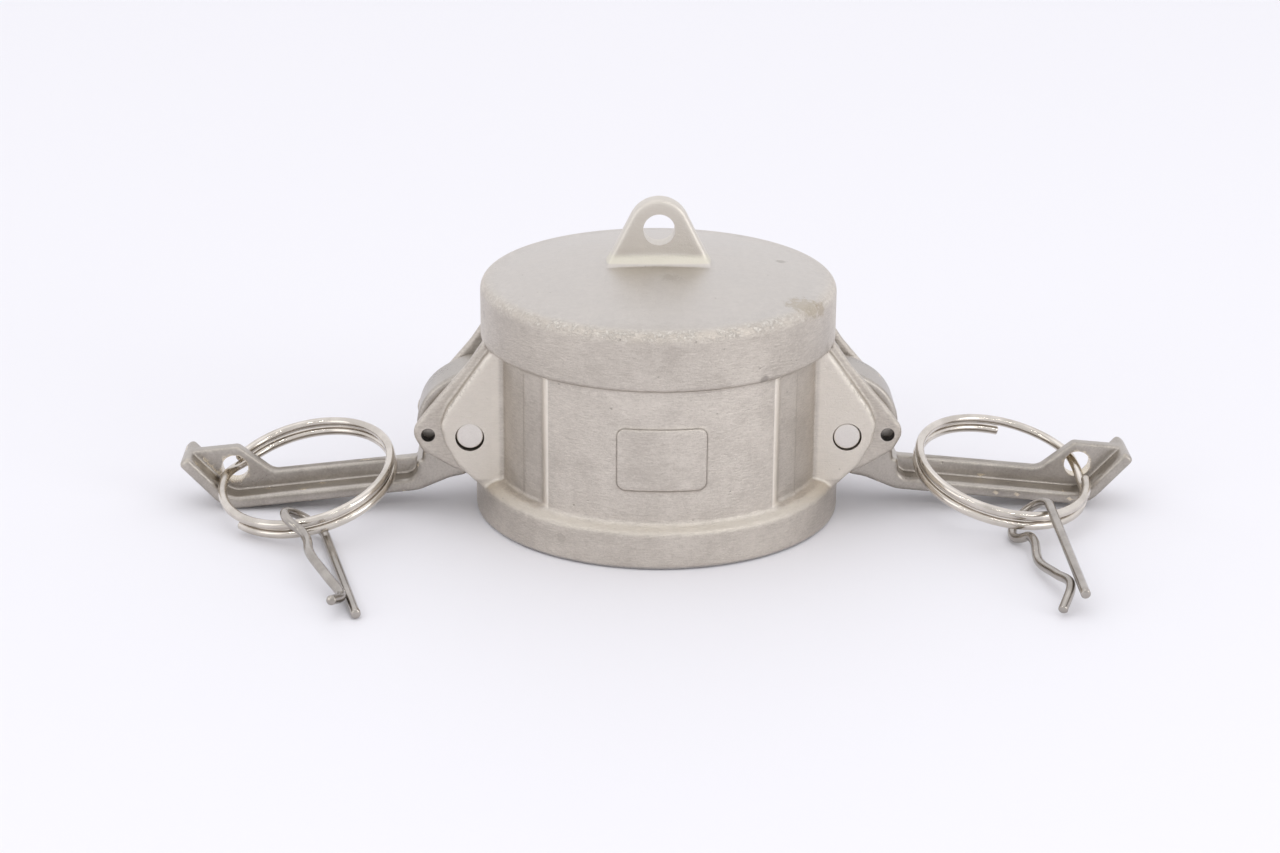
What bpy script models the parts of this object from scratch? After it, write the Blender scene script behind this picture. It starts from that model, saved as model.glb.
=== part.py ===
"""Camlock dust cap with two cam arms, finger rings and safety clips.

The cap stands on its mouth, the closed end up (+Z). The two arms lie open along X and the clips
lie towards -Y. Every piece is made about the cap's axis; at the end the whole part is moved so
that the origin lies under the middle of its outer box. All sizes are in metres and all angles
in degrees.
"""

import math

import bmesh
import bpy
from mathutils import Matrix, Vector

# Bore, gasket seat and closed end
BORE_RADIUS = 0.0320
BORE_DEPTH = 0.0396
MOUTH_CHAMFER = 0.0010
SEAT_UNDERCUT = 0.0018
SEAT_HEIGHT = 0.0068
CROWN_THICKNESS = 0.0050
CROWN_RISE = 0.0034
GASKET_WIDTH = 0.0081
GASKET_CLEARANCE = 0.0003
GASKET_CHAMFER = 0.0004
GASKET_LAND_SETBACK = 0.0006

# Outside of the casting, each step standing out from the one before
WALL_THICKNESS = 0.0036
PANEL_PROUD = 0.0019
PANEL_HALF_ANGLE = 39.0
PANEL_EDGE_ANGLE = 4.0
MOUTH_BAND_PROUD = 0.0020
MOUTH_BAND_HEIGHT = 0.0080
MOUTH_SHELF_RISE = 0.0016
TOP_WALL_THICKNESS = 0.0044
TOP_BAND_OVERLAP = 0.0008
TOP_EDGE_RADIUS = 0.0024
LABEL_PAD_HALF_ANGLE = 14.4
LABEL_PAD_HEIGHT = 0.0136
LABEL_PAD_CENTRE = 0.0237
LABEL_PAD_CORNER = 0.0016
LABEL_PAD_PROUD = 0.0004

# Lug on the closed end
LUG_THICKNESS = 0.0044
LUG_HEIGHT = 0.0146
LUG_SIDE_LEAN = 26.6
LUG_TOP_RADIUS = 0.0066
LUG_FLARE_HEIGHT = 0.0026
LUG_FLARE = 0.0017
LUG_FLARE_CORNER = 0.0008
LUG_SINK = 0.0014
LUG_HOLE_RADIUS = 0.0034
LUG_HOLE_HEIGHT = 0.0077

# Pivot, pins and ears
PIVOT_STANDOFF = 0.0029
PIVOT_HEIGHT = 0.0195
PIN_RADIUS = 0.0029
PIN_CLEARANCE = 0.0004
PIN_RECESS = 0.0003
PIN_END_CHAMFER = 0.0003
EAR_TAB_THICKNESS = 0.0026
EAR_PLATE_THICKNESS = 0.0038
EAR_EDGE_ROUND = 0.0006
CLIP_HOLE_RADIUS = 0.00145
CLIP_HOLE_REACH = 0.0091
CLIP_HOLE_DROP = 0.0009
CAM_WINDOW_BELOW = 0.0090
CAM_WINDOW_CLEARANCE = 0.0028

# Corners of the ear's two layers: out from the pivot, up from it, and the corner's radius
EAR_FOOT_SETBACK = 0.0036
TAB_CHEEK = (0.0042, -0.0084, 0.0040)
TAB_CHIN = (0.0104, -0.0046, 0.0024)
TAB_NOSE = (0.0128, -0.0002, 0.0032)
TAB_BROW = (0.0088, 0.0052, 0.0100)
TAB_BACK = (0.0004, 0.0152, 0.0120)
PLATE_CHEEK = (0.0036, -0.0078, 0.0040)
PLATE_CHIN = (0.0060, -0.0054, 0.0015)
PLATE_NOSE = (0.0058, 0.0016, 0.0030)
PLATE_BROW = (0.0038, 0.0064, 0.0060)
PLATE_SHOULDER = (-0.0012, 0.0138, 0.0040)
PLATE_BACK = (-0.0066, 0.0174, 0.0030)
PLATE_TOP_SETBACK = 0.0072

# Cam arm, in its own frame: u runs out along the arm from the pivot, v across it
ARM_WIDTH = 0.0122
ARM_SIDE_CLEARANCE = 0.0004
HUB_RADIUS = 0.0117
CAM_RADIUS = 0.0130
CAM_BACK_RADIUS = 0.0076
ARM_HEEL = (-0.0002, -0.0108, 0.0015)
ARM_THROAT = (0.0060, -0.0115, 0.0060)
FLANGE_START = 0.0130
FLANGE_START_RADIUS = 0.0080
FLANGE_OFFSET = 0.0137
FLANGE_THICKNESS = 0.0028
TIP_LENGTH = 0.0144
TIP_BEND = 53.0
TIP_BEND_RADIUS = 0.0070
TIP_BEND_PAST_HOLE = 0.0028
TIP_CORNER = 0.0010
WEB_THICKNESS = 0.0030
WEB_EDGE_OFFSET = 0.0074
WEB_CREST_OFFSET = 0.0009
WEB_EDGE_ROUND = 0.0004
CREST_BEFORE_HOLE = 0.0014
CREST_SHOULDER_RADIUS = 0.0016
CREST_FOOT_RADIUS = 0.0030
POCKET_REACH = 0.0131
POCKET_RADIUS = 0.0042
POCKET_LIP = 0.0012
POCKET_LIP_RADIUS = 0.0010
RING_END_CLEARANCE = 0.0024
RING_HOLE_OFFSET = 0.0057
RING_HOLE_RADIUS = 0.0029
ARM_EDGE_ROUND = 0.0008

# Finger ring: a split ring whose two coils lie one on the other
RING_WIRE_RADIUS = 0.0010
RING_RADIUS = 0.0186
COIL_GAP = 0.0004
RING_CROSSOVER = 18.0
RING_CROSSOVER_BEFORE_HOLE = 4.0
RING_LOWER_END = 63.0
RING_UPPER_END = 21.0

# Safety clip: straight leg, round eye and waved leg bent from one wire
CLIP_WIRE_RADIUS = 0.0010
CLIP_EYE_RADIUS = 0.0051
CLIP_LENGTH = 0.0408
CLIP_NECK_REACH = 0.0083
CLIP_NECK_DROP = 0.0006
CLIP_CREST_REACH = 0.0170
CLIP_WAVE_HEIGHT = 0.0068
CLIP_SLOPE_REACH = 0.0262
CLIP_SLOPE_HEIGHT = 0.0042
CLIP_PINCH_REACH = 0.0335
CLIP_PINCH_GAP = 0.0022
CLIP_END_REACH = 0.0400
CLIP_END_HEIGHT = 0.0058

TABLE_GAP = 0.0001
TURNED_STEPS = 72
WIRE_SIDES = 8

# How deep the shapes of one casting run into each other, and the step that keeps their hidden
# faces out of one plane
FUSE_DEPTH = 0.0006
FUSE_STEP = 0.0002

# How each side lies at rest: the arm's droop; where the ring's middle plane crosses the arm's
# hole, how far it rises towards the cap and dips towards the front, and its heading from the
# hole; and the clip's place round the ring, how far its eye sits inside the ring's wire, and
# its heading, pitch and roll
SIDES = {
    "left": {
        "turn": 180.0,
        "droop": 6.2,
        "ring_out": 0.0007,
        "ring_down": 0.0011,
        "ring_rise": 11.3,
        "ring_dip": 13.8,
        "ring_heading": -24.5,
        "clip_station": -89.8,
        "clip_inset": 0.0006,
        "clip_heading": -76.9,
        "clip_pitch": 0.4,
        "clip_roll": 146.5,
    },
    "right": {
        "turn": 0.0,
        "droop": 5.4,
        "ring_out": -0.0004,
        "ring_down": 0.0009,
        "ring_rise": 10.6,
        "ring_dip": 12.0,
        "ring_heading": 24.0,
        "clip_station": -73.2,
        "clip_inset": 0.0014,
        "clip_heading": -88.4,
        "clip_pitch": 3.8,
        "clip_roll": 222.5,
    },
}

# Sizes and places that follow from those above
SEAT_RADIUS = BORE_RADIUS + SEAT_UNDERCUT
SEAT_TOP = BORE_DEPTH + SEAT_HEIGHT
RIM_TOP = SEAT_TOP + CROWN_THICKNESS
CROWN_TOP = RIM_TOP + CROWN_RISE
GASKET_OUTER_RADIUS = SEAT_RADIUS - GASKET_CLEARANCE
GASKET_BORE_RADIUS = GASKET_OUTER_RADIUS - GASKET_WIDTH
CHANNEL_RADIUS = BORE_RADIUS + WALL_THICKNESS
PANEL_RADIUS = CHANNEL_RADIUS + PANEL_PROUD
MOUTH_BAND_RADIUS = PANEL_RADIUS + MOUTH_BAND_PROUD
SHELF_TOP = MOUTH_BAND_HEIGHT + MOUTH_SHELF_RISE
TOP_BAND_RADIUS = SEAT_RADIUS + TOP_WALL_THICKNESS
TOP_BAND_LOWER_EDGE = BORE_DEPTH - TOP_BAND_OVERLAP
PIVOT_REACH = PANEL_RADIUS + PIVOT_STANDOFF
PIN_HOLE_RADIUS = PIN_RADIUS + PIN_CLEARANCE
EAR_INNER = ARM_WIDTH / 2 + ARM_SIDE_CLEARANCE
EAR_TAB_FACE = EAR_INNER + EAR_TAB_THICKNESS
EAR_OUTER = EAR_TAB_FACE + EAR_PLATE_THICKNESS
CAM_WINDOW_ABOVE = CAM_RADIUS + CAM_WINDOW_CLEARANCE
RING_HOLE_REACH = POCKET_REACH + 2 * RING_RADIUS + RING_END_CLEARANCE
FLANGE_LENGTH = RING_HOLE_REACH + TIP_BEND_PAST_HOLE
COIL_OFFSET = RING_WIRE_RADIUS + COIL_GAP / 2


def clear_scene():
    """Removes every object that the file starts with."""
    for found in list(bpy.data.objects):
        bpy.data.objects.remove(found, do_unlink=True)


def metal(name, colour, roughness, metallic=1.0):
    """A Principled material of one colour."""
    made = bpy.data.materials.new(name)
    made.use_nodes = True
    shader = made.node_tree.nodes["Principled BSDF"]
    shader.inputs["Base Color"].default_value = (*colour, 1.0)
    shader.inputs["Roughness"].default_value = roughness
    shader.inputs["Metallic"].default_value = metallic
    return made


def finish_mesh(name, bm, sharp_angle=35.0):
    """The mesh of a bmesh, its faces pointing out and its round stretches smooth."""
    bmesh.ops.recalc_face_normals(bm, faces=bm.faces)
    mesh = bpy.data.meshes.new(name)
    bm.to_mesh(mesh)
    bm.free()
    mesh.shade_smooth()
    mesh.set_sharp_from_angle(angle=math.radians(sharp_angle))
    return mesh


def place(name, mesh, material=None, matrix=None, parent=None):
    """Links one object that shows the mesh, at a place in the world."""
    made = bpy.data.objects.new(name, mesh)
    bpy.context.scene.collection.objects.link(made)
    if material is not None:
        mesh.materials.clear()
        mesh.materials.append(material)
    if parent is not None:
        made.parent = parent
    if matrix is not None:
        made.matrix_world = matrix
    return made


def helper(name, mesh, matrix=None):
    """An object that only shapes another one."""
    made = place(name, mesh, matrix=matrix)
    made.hide_render = True
    made.display_type = "WIRE"
    return made


def shape_with(target, tool, operation):
    """Adds the tool to the target, or cuts it out."""
    step = target.modifiers.new(tool.name, "BOOLEAN")
    step.operation = operation
    step.solver = "EXACT"
    step.object = tool


def rounded(corners, steps=4):
    """The outline through corners (x, y, radius), with each corner rounded to its radius."""
    outline = []
    count = len(corners)
    for i, (x, y, radius) in enumerate(corners):
        here = Vector((x, y))
        if radius <= 0:
            outline.append(here)
            continue
        before = Vector(corners[i - 1][:2]) - here
        after = Vector(corners[(i + 1) % count][:2]) - here
        into, out_of = before.normalized(), after.normalized()
        half = into.angle(out_of) / 2
        reach = min(radius / math.tan(half), 0.49 * before.length, 0.49 * after.length)
        centre = here + (into + out_of).normalized() * (reach / math.cos(half))
        start = here + into * reach - centre
        end = here + out_of * reach - centre
        sweep = start.angle_signed(end)
        for step in range(steps + 1):
            turn = Matrix.Rotation(-sweep * step / steps, 2)
            outline.append(centre + turn @ start)
    return outline


def arc(centre, radius, start, end, steps):
    """Points of an arc from one angle to another, in degrees."""
    points = []
    for step in range(steps + 1):
        angle = math.radians(start + (end - start) * step / steps)
        points.append(Vector((centre[0] + radius * math.cos(angle), centre[1] + radius * math.sin(angle))))
    return points


def plate(name, outline, low, high, edge_round=0.0, round_low=True):
    """An outline in XZ made solid from y = low to y = high, its rims rounded."""
    bm = bmesh.new()
    ring = [bm.verts.new((point.x, low, point.y)) for point in outline]
    first = bm.faces.new(ring)
    grown = bmesh.ops.extrude_face_region(bm, geom=[first])
    moved = [item for item in grown["geom"] if isinstance(item, bmesh.types.BMVert)]
    bmesh.ops.translate(bm, verts=moved, vec=(0, high - low, 0))
    bmesh.ops.recalc_face_normals(bm, faces=bm.faces)
    if edge_round > 0:
        levels = (low, high) if round_low else (high,)
        rims = []
        for edge in bm.edges:
            ends = [vert.co.y for vert in edge.verts]
            if any(all(abs(y - level) < 1e-7 for y in ends) for level in levels):
                rims.append(edge)
        bmesh.ops.bevel(bm, geom=rims, offset=edge_round, segments=1, affect="EDGES")
    return finish_mesh(name, bm)


def turned(name, profile, steps=TURNED_STEPS):
    """A closed profile of (radius, height) carried once round Z."""
    bm = bmesh.new()
    verts = [bm.verts.new((radius, 0, height)) for radius, height in profile]
    edges = [bm.edges.new((verts[i - 1], verts[i])) for i in range(len(verts))]
    bmesh.ops.spin(
        bm,
        geom=verts + edges,
        cent=(0, 0, 0),
        axis=(0, 0, 1),
        angle=2 * math.pi,
        steps=steps,
        use_merge=True,
    )
    bmesh.ops.remove_doubles(bm, verts=bm.verts, dist=1e-6)
    return finish_mesh(name, bm)


def rod(name, radius, length, sides=24, end_chamfer=0.0):
    """A round bar along Y, centred on the origin."""
    bm = bmesh.new()
    bmesh.ops.create_cone(
        bm, cap_ends=True, segments=sides, radius1=radius, radius2=radius, depth=length
    )
    bmesh.ops.rotate(bm, verts=bm.verts, matrix=Matrix.Rotation(math.pi / 2, 3, "X"))
    if end_chamfer > 0:
        rims = [edge for edge in bm.edges if len({round(vert.co.y, 6) for vert in edge.verts}) == 1]
        bmesh.ops.bevel(bm, geom=rims, offset=end_chamfer, segments=1, affect="EDGES")
    return finish_mesh(name, bm)


def block(name, low, high):
    """A box between two corners."""
    bm = bmesh.new()
    bmesh.ops.create_cube(bm, size=1.0)
    size = Vector(high) - Vector(low)
    bmesh.ops.scale(bm, verts=bm.verts, vec=size)
    bmesh.ops.translate(bm, verts=bm.verts, vec=(Vector(high) + Vector(low)) / 2)
    return finish_mesh(name, bm)


def wire(name, points, radius, sides=WIRE_SIDES):
    """A round wire swept along points, with flat ends."""
    bm = bmesh.new()
    rings = []
    side = None
    for i, point in enumerate(points):
        ahead = points[min(i + 1, len(points) - 1)]
        behind = points[max(i - 1, 0)]
        along = (ahead - behind).normalized()
        if side is None:
            side = along.orthogonal().normalized()
        side = (side - along * side.dot(along)).normalized()
        across = along.cross(side)
        ring = []
        for k in range(sides):
            angle = 2 * math.pi * k / sides
            offset = side * math.cos(angle) + across * math.sin(angle)
            ring.append(bm.verts.new(point + offset * radius))
        rings.append(ring)
    for first, second in zip(rings, rings[1:]):
        for k in range(sides):
            n = (k + 1) % sides
            bm.faces.new((first[k], first[n], second[n], second[k]))
    bm.faces.new(rings[0])
    bm.faces.new(rings[-1])
    return finish_mesh(name, bm)


def crown_profile(steps=6):
    """The outside of the closed end, from the top band's side to the axis."""
    corner = (TOP_BAND_RADIUS - TOP_EDGE_RADIUS, RIM_TOP - TOP_EDGE_RADIUS)
    points = [tuple(point) for point in arc(corner, TOP_EDGE_RADIUS, 0, 80, 4)]
    edge_radius = points[-1][0]
    edge_height = points[-1][1]
    rise = CROWN_TOP - edge_height
    for step in range(1, steps + 1):
        share = step / steps
        radius = edge_radius * (1 - share)
        points.append((radius, edge_height + rise * (1 - (1 - share) ** 2)))
    return points


def shell_profile():
    """The casting's section, without ears, panels and lug."""
    outside = [
        (BORE_RADIUS + MOUTH_CHAMFER, 0.0),
        (MOUTH_BAND_RADIUS - MOUTH_CHAMFER / 2, 0.0),
        (MOUTH_BAND_RADIUS, MOUTH_CHAMFER / 2),
        (MOUTH_BAND_RADIUS, MOUTH_BAND_HEIGHT - MOUTH_CHAMFER / 2),
        (MOUTH_BAND_RADIUS - MOUTH_CHAMFER / 2, MOUTH_BAND_HEIGHT),
        (PANEL_RADIUS, SHELF_TOP),
        (CHANNEL_RADIUS, SHELF_TOP),
        (CHANNEL_RADIUS, TOP_BAND_LOWER_EDGE),
        (TOP_BAND_RADIUS - MOUTH_CHAMFER / 4, TOP_BAND_LOWER_EDGE),
        (TOP_BAND_RADIUS, TOP_BAND_LOWER_EDGE + MOUTH_CHAMFER / 4),
    ]
    inside = [
        (0.0, SEAT_TOP),
        (SEAT_RADIUS, SEAT_TOP),
        (SEAT_RADIUS, BORE_DEPTH),
        (BORE_RADIUS, BORE_DEPTH),
        (BORE_RADIUS, MOUTH_CHAMFER),
    ]
    return outside + crown_profile() + inside


def panel_mesh(name, centre, steps=24):
    """A raised stretch of wall about the angle centre, its upright edges sloped down."""
    bm = bmesh.new()
    foot = PANEL_HALF_ANGLE + PANEL_EDGE_ANGLE
    buried = CHANNEL_RADIUS - FUSE_DEPTH
    polar = [(-foot, buried)]
    for i in range(steps + 1):
        polar.append((-PANEL_HALF_ANGLE + 2 * PANEL_HALF_ANGLE * i / steps, PANEL_RADIUS))
    polar.append((foot, buried))
    inner = buried - 2 * FUSE_DEPTH
    for i in range(steps + 1):
        polar.append((PANEL_HALF_ANGLE - 2 * PANEL_HALF_ANGLE * i / steps, inner))
    low = SHELF_TOP - 2 * FUSE_DEPTH
    high = TOP_BAND_LOWER_EDGE + FUSE_DEPTH / 2
    verts = []
    for angle, radius in polar:
        turn = math.radians(angle + centre)
        verts.append(bm.verts.new((radius * math.sin(turn), -radius * math.cos(turn), low)))
    first = bm.faces.new(verts)
    grown = bmesh.ops.extrude_face_region(bm, geom=[first])
    moved = [item for item in grown["geom"] if isinstance(item, bmesh.types.BMVert)]
    bmesh.ops.translate(bm, verts=moved, vec=(0, 0, high - low))
    return finish_mesh(name, bm)


def add_label_pad(body):
    """A raised bare pad with rounded corners, its face bent round the wall."""
    half_width = PANEL_RADIUS * math.sin(math.radians(LABEL_PAD_HALF_ANGLE))
    low = LABEL_PAD_CENTRE - LABEL_PAD_HEIGHT / 2
    high = LABEL_PAD_CENTRE + LABEL_PAD_HEIGHT / 2
    corner = LABEL_PAD_CORNER
    outline = rounded(
        [
            (-half_width, low, corner),
            (half_width, low, corner),
            (half_width, high, corner),
            (-half_width, high, corner),
        ]
    )
    face_radius = PANEL_RADIUS + LABEL_PAD_PROUD
    nearest = face_radius + FUSE_DEPTH
    deepest = PANEL_RADIUS * math.cos(math.radians(LABEL_PAD_HALF_ANGLE)) - 2 * FUSE_DEPTH
    pad = helper("label_pad", plate("label_pad", outline, -nearest, -deepest))
    under, over = low - FUSE_DEPTH, high + FUSE_DEPTH
    section = [(0.0, under), (face_radius, under), (face_radius, over), (0.0, over)]
    face = helper("label_pad_face", turned("label_pad_face", section, 144))
    shape_with(pad, face, "INTERSECT")
    shape_with(body, pad, "UNION")


def from_pivot(corner):
    """A corner given from the pivot, in the casting's own X and Z, with its radius."""
    return PIVOT_REACH + corner[0], PIVOT_HEIGHT + corner[1], corner[2]


def ear_outline(corners, foot, top, step=0.0):
    """An ear's layer, from the mouth band's shelf round its corners up to the top band."""
    root = BORE_RADIUS - FUSE_DEPTH / 2 + step
    shelf = MOUTH_BAND_HEIGHT - FUSE_DEPTH - step
    under_band = TOP_BAND_LOWER_EDGE + FUSE_DEPTH - step
    outline = [(root, shelf, 0), (foot, shelf, 0)]
    outline += [from_pivot(corner) for corner in corners]
    outline += [(top, under_band, 0), (root, under_band, 0)]
    return rounded(outline)


def ear_tab_outline():
    """The ear's inner layer, which carries the clip's hole."""
    corners = (TAB_CHEEK, TAB_CHIN, TAB_NOSE, TAB_BROW, TAB_BACK)
    return ear_outline(corners, PIVOT_REACH - EAR_FOOT_SETBACK, TOP_BAND_RADIUS - FUSE_DEPTH)


def ear_plate_outline():
    """The ear's thick outer layer, round the pin."""
    corners = (PLATE_CHEEK, PLATE_CHIN, PLATE_NOSE, PLATE_BROW, PLATE_SHOULDER, PLATE_BACK)
    foot = PIVOT_REACH - EAR_FOOT_SETBACK - FUSE_STEP
    return ear_outline(corners, foot, PIVOT_REACH - PLATE_TOP_SETBACK, FUSE_STEP)


def lug_outline():
    """The upright lug: leaning sides under a round top."""
    lean = LUG_SIDE_LEAN
    centre = (0.0, CROWN_TOP + LUG_HEIGHT - LUG_TOP_RADIUS)
    top = arc(centre, LUG_TOP_RADIUS, lean, 180.0 - lean, 10)
    base = CROWN_TOP - LUG_SINK
    foot = top[0].x + (top[0].y - base) * math.tan(math.radians(lean))
    return [Vector((-foot, base)), Vector((foot, base))] + top


def lug_flare(steps=4):
    """The lug's foot, swept out to the crown on all four sides along a hollow quarter round."""
    bm = bmesh.new()
    slope = math.tan(math.radians(LUG_SIDE_LEAN))
    half_at_crown = lug_outline()[1].x - LUG_SINK * slope
    levels = [(-LUG_SINK - FUSE_STEP, LUG_FLARE)]
    for i in range(steps + 1):
        turn = math.radians(90.0 * i / steps)
        levels.append((LUG_FLARE_HEIGHT * (1 - math.cos(turn)), LUG_FLARE * (1 - math.sin(turn))))
    rings = []
    for height, flare in levels:
        half_x = half_at_crown - height * slope + flare * 0.15
        half_y = LUG_THICKNESS / 2 + flare - FUSE_STEP / 2
        cut = LUG_FLARE_CORNER
        section = [
            (-half_x + cut, -half_y), (half_x - cut, -half_y), (half_x, -half_y + cut),
            (half_x, half_y - cut), (half_x - cut, half_y), (-half_x + cut, half_y),
            (-half_x, half_y - cut), (-half_x, -half_y + cut),
        ]
        rings.append([bm.verts.new((x, y, CROWN_TOP + height)) for x, y in section])
    for below, above in zip(rings, rings[1:]):
        for k in range(8):
            n = (k + 1) % 8
            bm.faces.new((below[k], below[n], above[n], above[k]))
    bm.faces.new(rings[0])
    bm.faces.new(rings[-1])
    return finish_mesh("lug_flare", bm)


def make_cap_body(material):
    """The whole casting: shell, panels, ears, lug and label pad."""
    body = place("cap_body", turned("cap_body", shell_profile()), material)
    for side, centre in (("front", 0.0), ("back", 180.0)):
        panel = panel_mesh(f"panel_{side}", centre)
        shape_with(body, helper(f"panel_{side}", panel), "UNION")
    add_label_pad(body)
    lug = plate("lug", lug_outline(), -LUG_THICKNESS / 2, LUG_THICKNESS / 2, EAR_EDGE_ROUND)
    shape_with(body, helper("lug", lug), "UNION")
    shape_with(body, helper("lug_flare", lug_flare()), "UNION")
    lug_hole = rod("lug_hole", LUG_HOLE_RADIUS, LUG_THICKNESS * 3, 24)
    hole_place = Matrix.Translation((0, 0, CROWN_TOP + LUG_HOLE_HEIGHT))
    shape_with(body, helper("lug_hole", lug_hole, hole_place), "DIFFERENCE")
    add_ears(body)
    return body


def add_ears(body):
    """Four ears, and the windows, pin holes and clip holes through them."""
    edge = EAR_EDGE_ROUND
    tab = plate("ear_tab", ear_tab_outline(), EAR_INNER, EAR_TAB_FACE + edge, edge, False)
    thick = plate("ear_plate", ear_plate_outline(), EAR_INNER + FUSE_STEP, EAR_OUTER, edge, False)
    pin_hole = rod("pin_hole", PIN_HOLE_RADIUS, EAR_OUTER * 3, 28)
    clip_hole = rod("clip_hole", CLIP_HOLE_RADIUS, EAR_OUTER * 3, 16)
    window = block(
        "cam_window",
        (BORE_RADIUS * 0.8, -EAR_INNER, PIVOT_HEIGHT - CAM_WINDOW_BELOW),
        (PIVOT_REACH + 2 * TAB_NOSE[0], EAR_INNER, PIVOT_HEIGHT + CAM_WINDOW_ABOVE),
    )
    mirror_y = Matrix.Scale(-1, 4, (0, 1, 0))
    for side, turn in (("left", 180.0), ("right", 0.0)):
        turned_to = Matrix.Rotation(math.radians(turn), 4, "Z")
        for end, matrix in (("a", turned_to), ("b", turned_to @ mirror_y)):
            shape_with(body, helper(f"ear_tab_{side}_{end}", tab, matrix), "UNION")
            shape_with(body, helper(f"ear_plate_{side}_{end}", thick, matrix), "UNION")
        shape_with(body, helper(f"cam_window_{side}", window, turned_to), "DIFFERENCE")
        at_pin = turned_to @ Matrix.Translation((PIVOT_REACH, 0, PIVOT_HEIGHT))
        shape_with(body, helper(f"pin_hole_{side}", pin_hole, at_pin), "DIFFERENCE")
        at_clip = at_pin @ Matrix.Translation((CLIP_HOLE_REACH, 0, -CLIP_HOLE_DROP))
        shape_with(body, helper(f"clip_hole_{side}", clip_hole, at_clip), "DIFFERENCE")


def make_gasket(material):
    """The ring that seals against the adapter's end, flat up to the seat's lip."""
    low = BORE_DEPTH + GASKET_CLEARANCE
    high = SEAT_TOP - GASKET_CLEARANCE
    inner = GASKET_BORE_RADIUS
    outer = GASKET_OUTER_RADIUS
    c = GASKET_CHAMFER
    profile = [
        (inner + c, low),
        (BORE_RADIUS - GASKET_LAND_SETBACK, low),
        (outer, low + c),
        (outer, high - c),
        (outer - c, high),
        (inner + c, high),
        (inner, high - c),
        (inner, low + c),
    ]
    return place("gasket", turned("gasket", profile), material)


def arm_outline():
    """The arm's full-width part in (u, v): cam, heel, neck, flange and bent tip."""
    cam = []
    for angle in range(20, 111, 15):
        share = max(0.0, (angle - 65.0) / 45.0)
        radius = HUB_RADIUS + (CAM_RADIUS - HUB_RADIUS) * share * share * (3 - 2 * share)
        turn = math.radians(angle)
        cam.append(Vector((radius * math.cos(turn), radius * math.sin(turn))))
    back = []
    for angle in range(125, 246, 20):
        share = min(1.0, (angle - 110.0) / 50.0)
        radius = CAM_RADIUS + (CAM_BACK_RADIUS - CAM_RADIUS) * math.sin(share * math.pi / 2)
        turn = math.radians(angle)
        back.append(Vector((radius * math.cos(turn), radius * math.sin(turn))))
    bend = math.radians(TIP_BEND)
    tip = Vector((math.cos(bend), math.sin(bend)))
    out = Vector((math.sin(bend), -math.cos(bend)))
    low_bend = Vector((FLANGE_LENGTH, -FLANGE_OFFSET))
    tip_outer = low_bend + tip * TIP_LENGTH
    tip_inner = tip_outer - out * FLANGE_THICKNESS
    inner_bend_u = FLANGE_LENGTH - FLANGE_THICKNESS * math.tan(bend / 2)
    floor = -FLANGE_OFFSET + FLANGE_THICKNESS
    rest = rounded(
        [
            ARM_HEEL,
            ARM_THROAT,
            (FLANGE_START, -FLANGE_OFFSET, FLANGE_START_RADIUS),
            (low_bend.x, low_bend.y, TIP_BEND_RADIUS),
            (tip_outer.x, tip_outer.y, TIP_CORNER),
            (tip_inner.x, tip_inner.y, TIP_CORNER),
            (inner_bend_u, floor, TIP_BEND_RADIUS - FLANGE_THICKNESS),
            (POCKET_REACH, floor, POCKET_RADIUS),
            (POCKET_REACH, -WEB_EDGE_OFFSET + POCKET_LIP, POCKET_LIP_RADIUS),
        ]
    )
    hub = arc((0, 0), HUB_RADIUS, -20, 8, 3)
    return cam + back + rest + hub


def web_outline():
    """The thin web in (u, v), with the crest that holds the ring's hole."""
    floor = -FLANGE_OFFSET + FLANGE_THICKNESS / 2
    bend = math.radians(TIP_BEND)
    run = (FLANGE_OFFSET - WEB_CREST_OFFSET) / math.tan(bend)
    crest_end = FLANGE_LENGTH + run - FLANGE_THICKNESS / math.sin(bend)
    low_end = FLANGE_LENGTH - FLANGE_THICKNESS / 2 * math.tan(bend / 2)
    shoulder = RING_HOLE_REACH - CREST_BEFORE_HOLE
    drop = WEB_EDGE_OFFSET - WEB_CREST_OFFSET
    return rounded(
        [
            (HUB_RADIUS * 0.75, floor, 0),
            (low_end, floor, TIP_BEND_RADIUS - FLANGE_THICKNESS / 2),
            (crest_end, -WEB_CREST_OFFSET, 0),
            (shoulder, -WEB_CREST_OFFSET, CREST_SHOULDER_RADIUS),
            (shoulder - drop, -WEB_EDGE_OFFSET, CREST_FOOT_RADIUS),
            (HUB_RADIUS * 0.75, -WEB_EDGE_OFFSET, 0),
        ]
    )


def make_arm_shape():
    """The arm's pieces and holes, each in the arm's own frame."""
    half = ARM_WIDTH / 2
    full = plate("cam_arm", arm_outline(), -half, half, ARM_EDGE_ROUND)
    web = plate("arm_web", web_outline(), -WEB_THICKNESS / 2, WEB_THICKNESS / 2, WEB_EDGE_ROUND)
    bore = rod("arm_bore", PIN_HOLE_RADIUS, ARM_WIDTH * 2, 28)
    ring_hole = rod("ring_hole", RING_HOLE_RADIUS, ARM_WIDTH * 2, 24)
    clip_hole = rod("arm_clip_hole", CLIP_HOLE_RADIUS, ARM_WIDTH * 2, 16)
    return full, web, bore, ring_hole, clip_hole


def arm_matrix(pose):
    """The arm's frame at rest, its origin on the pivot's axis."""
    return (
        Matrix.Rotation(math.radians(pose["turn"]), 4, "Z")
        @ Matrix.Translation((PIVOT_REACH, 0, PIVOT_HEIGHT))
        @ Matrix.Rotation(math.radians(pose["droop"]), 4, "Y")
    )


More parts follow.
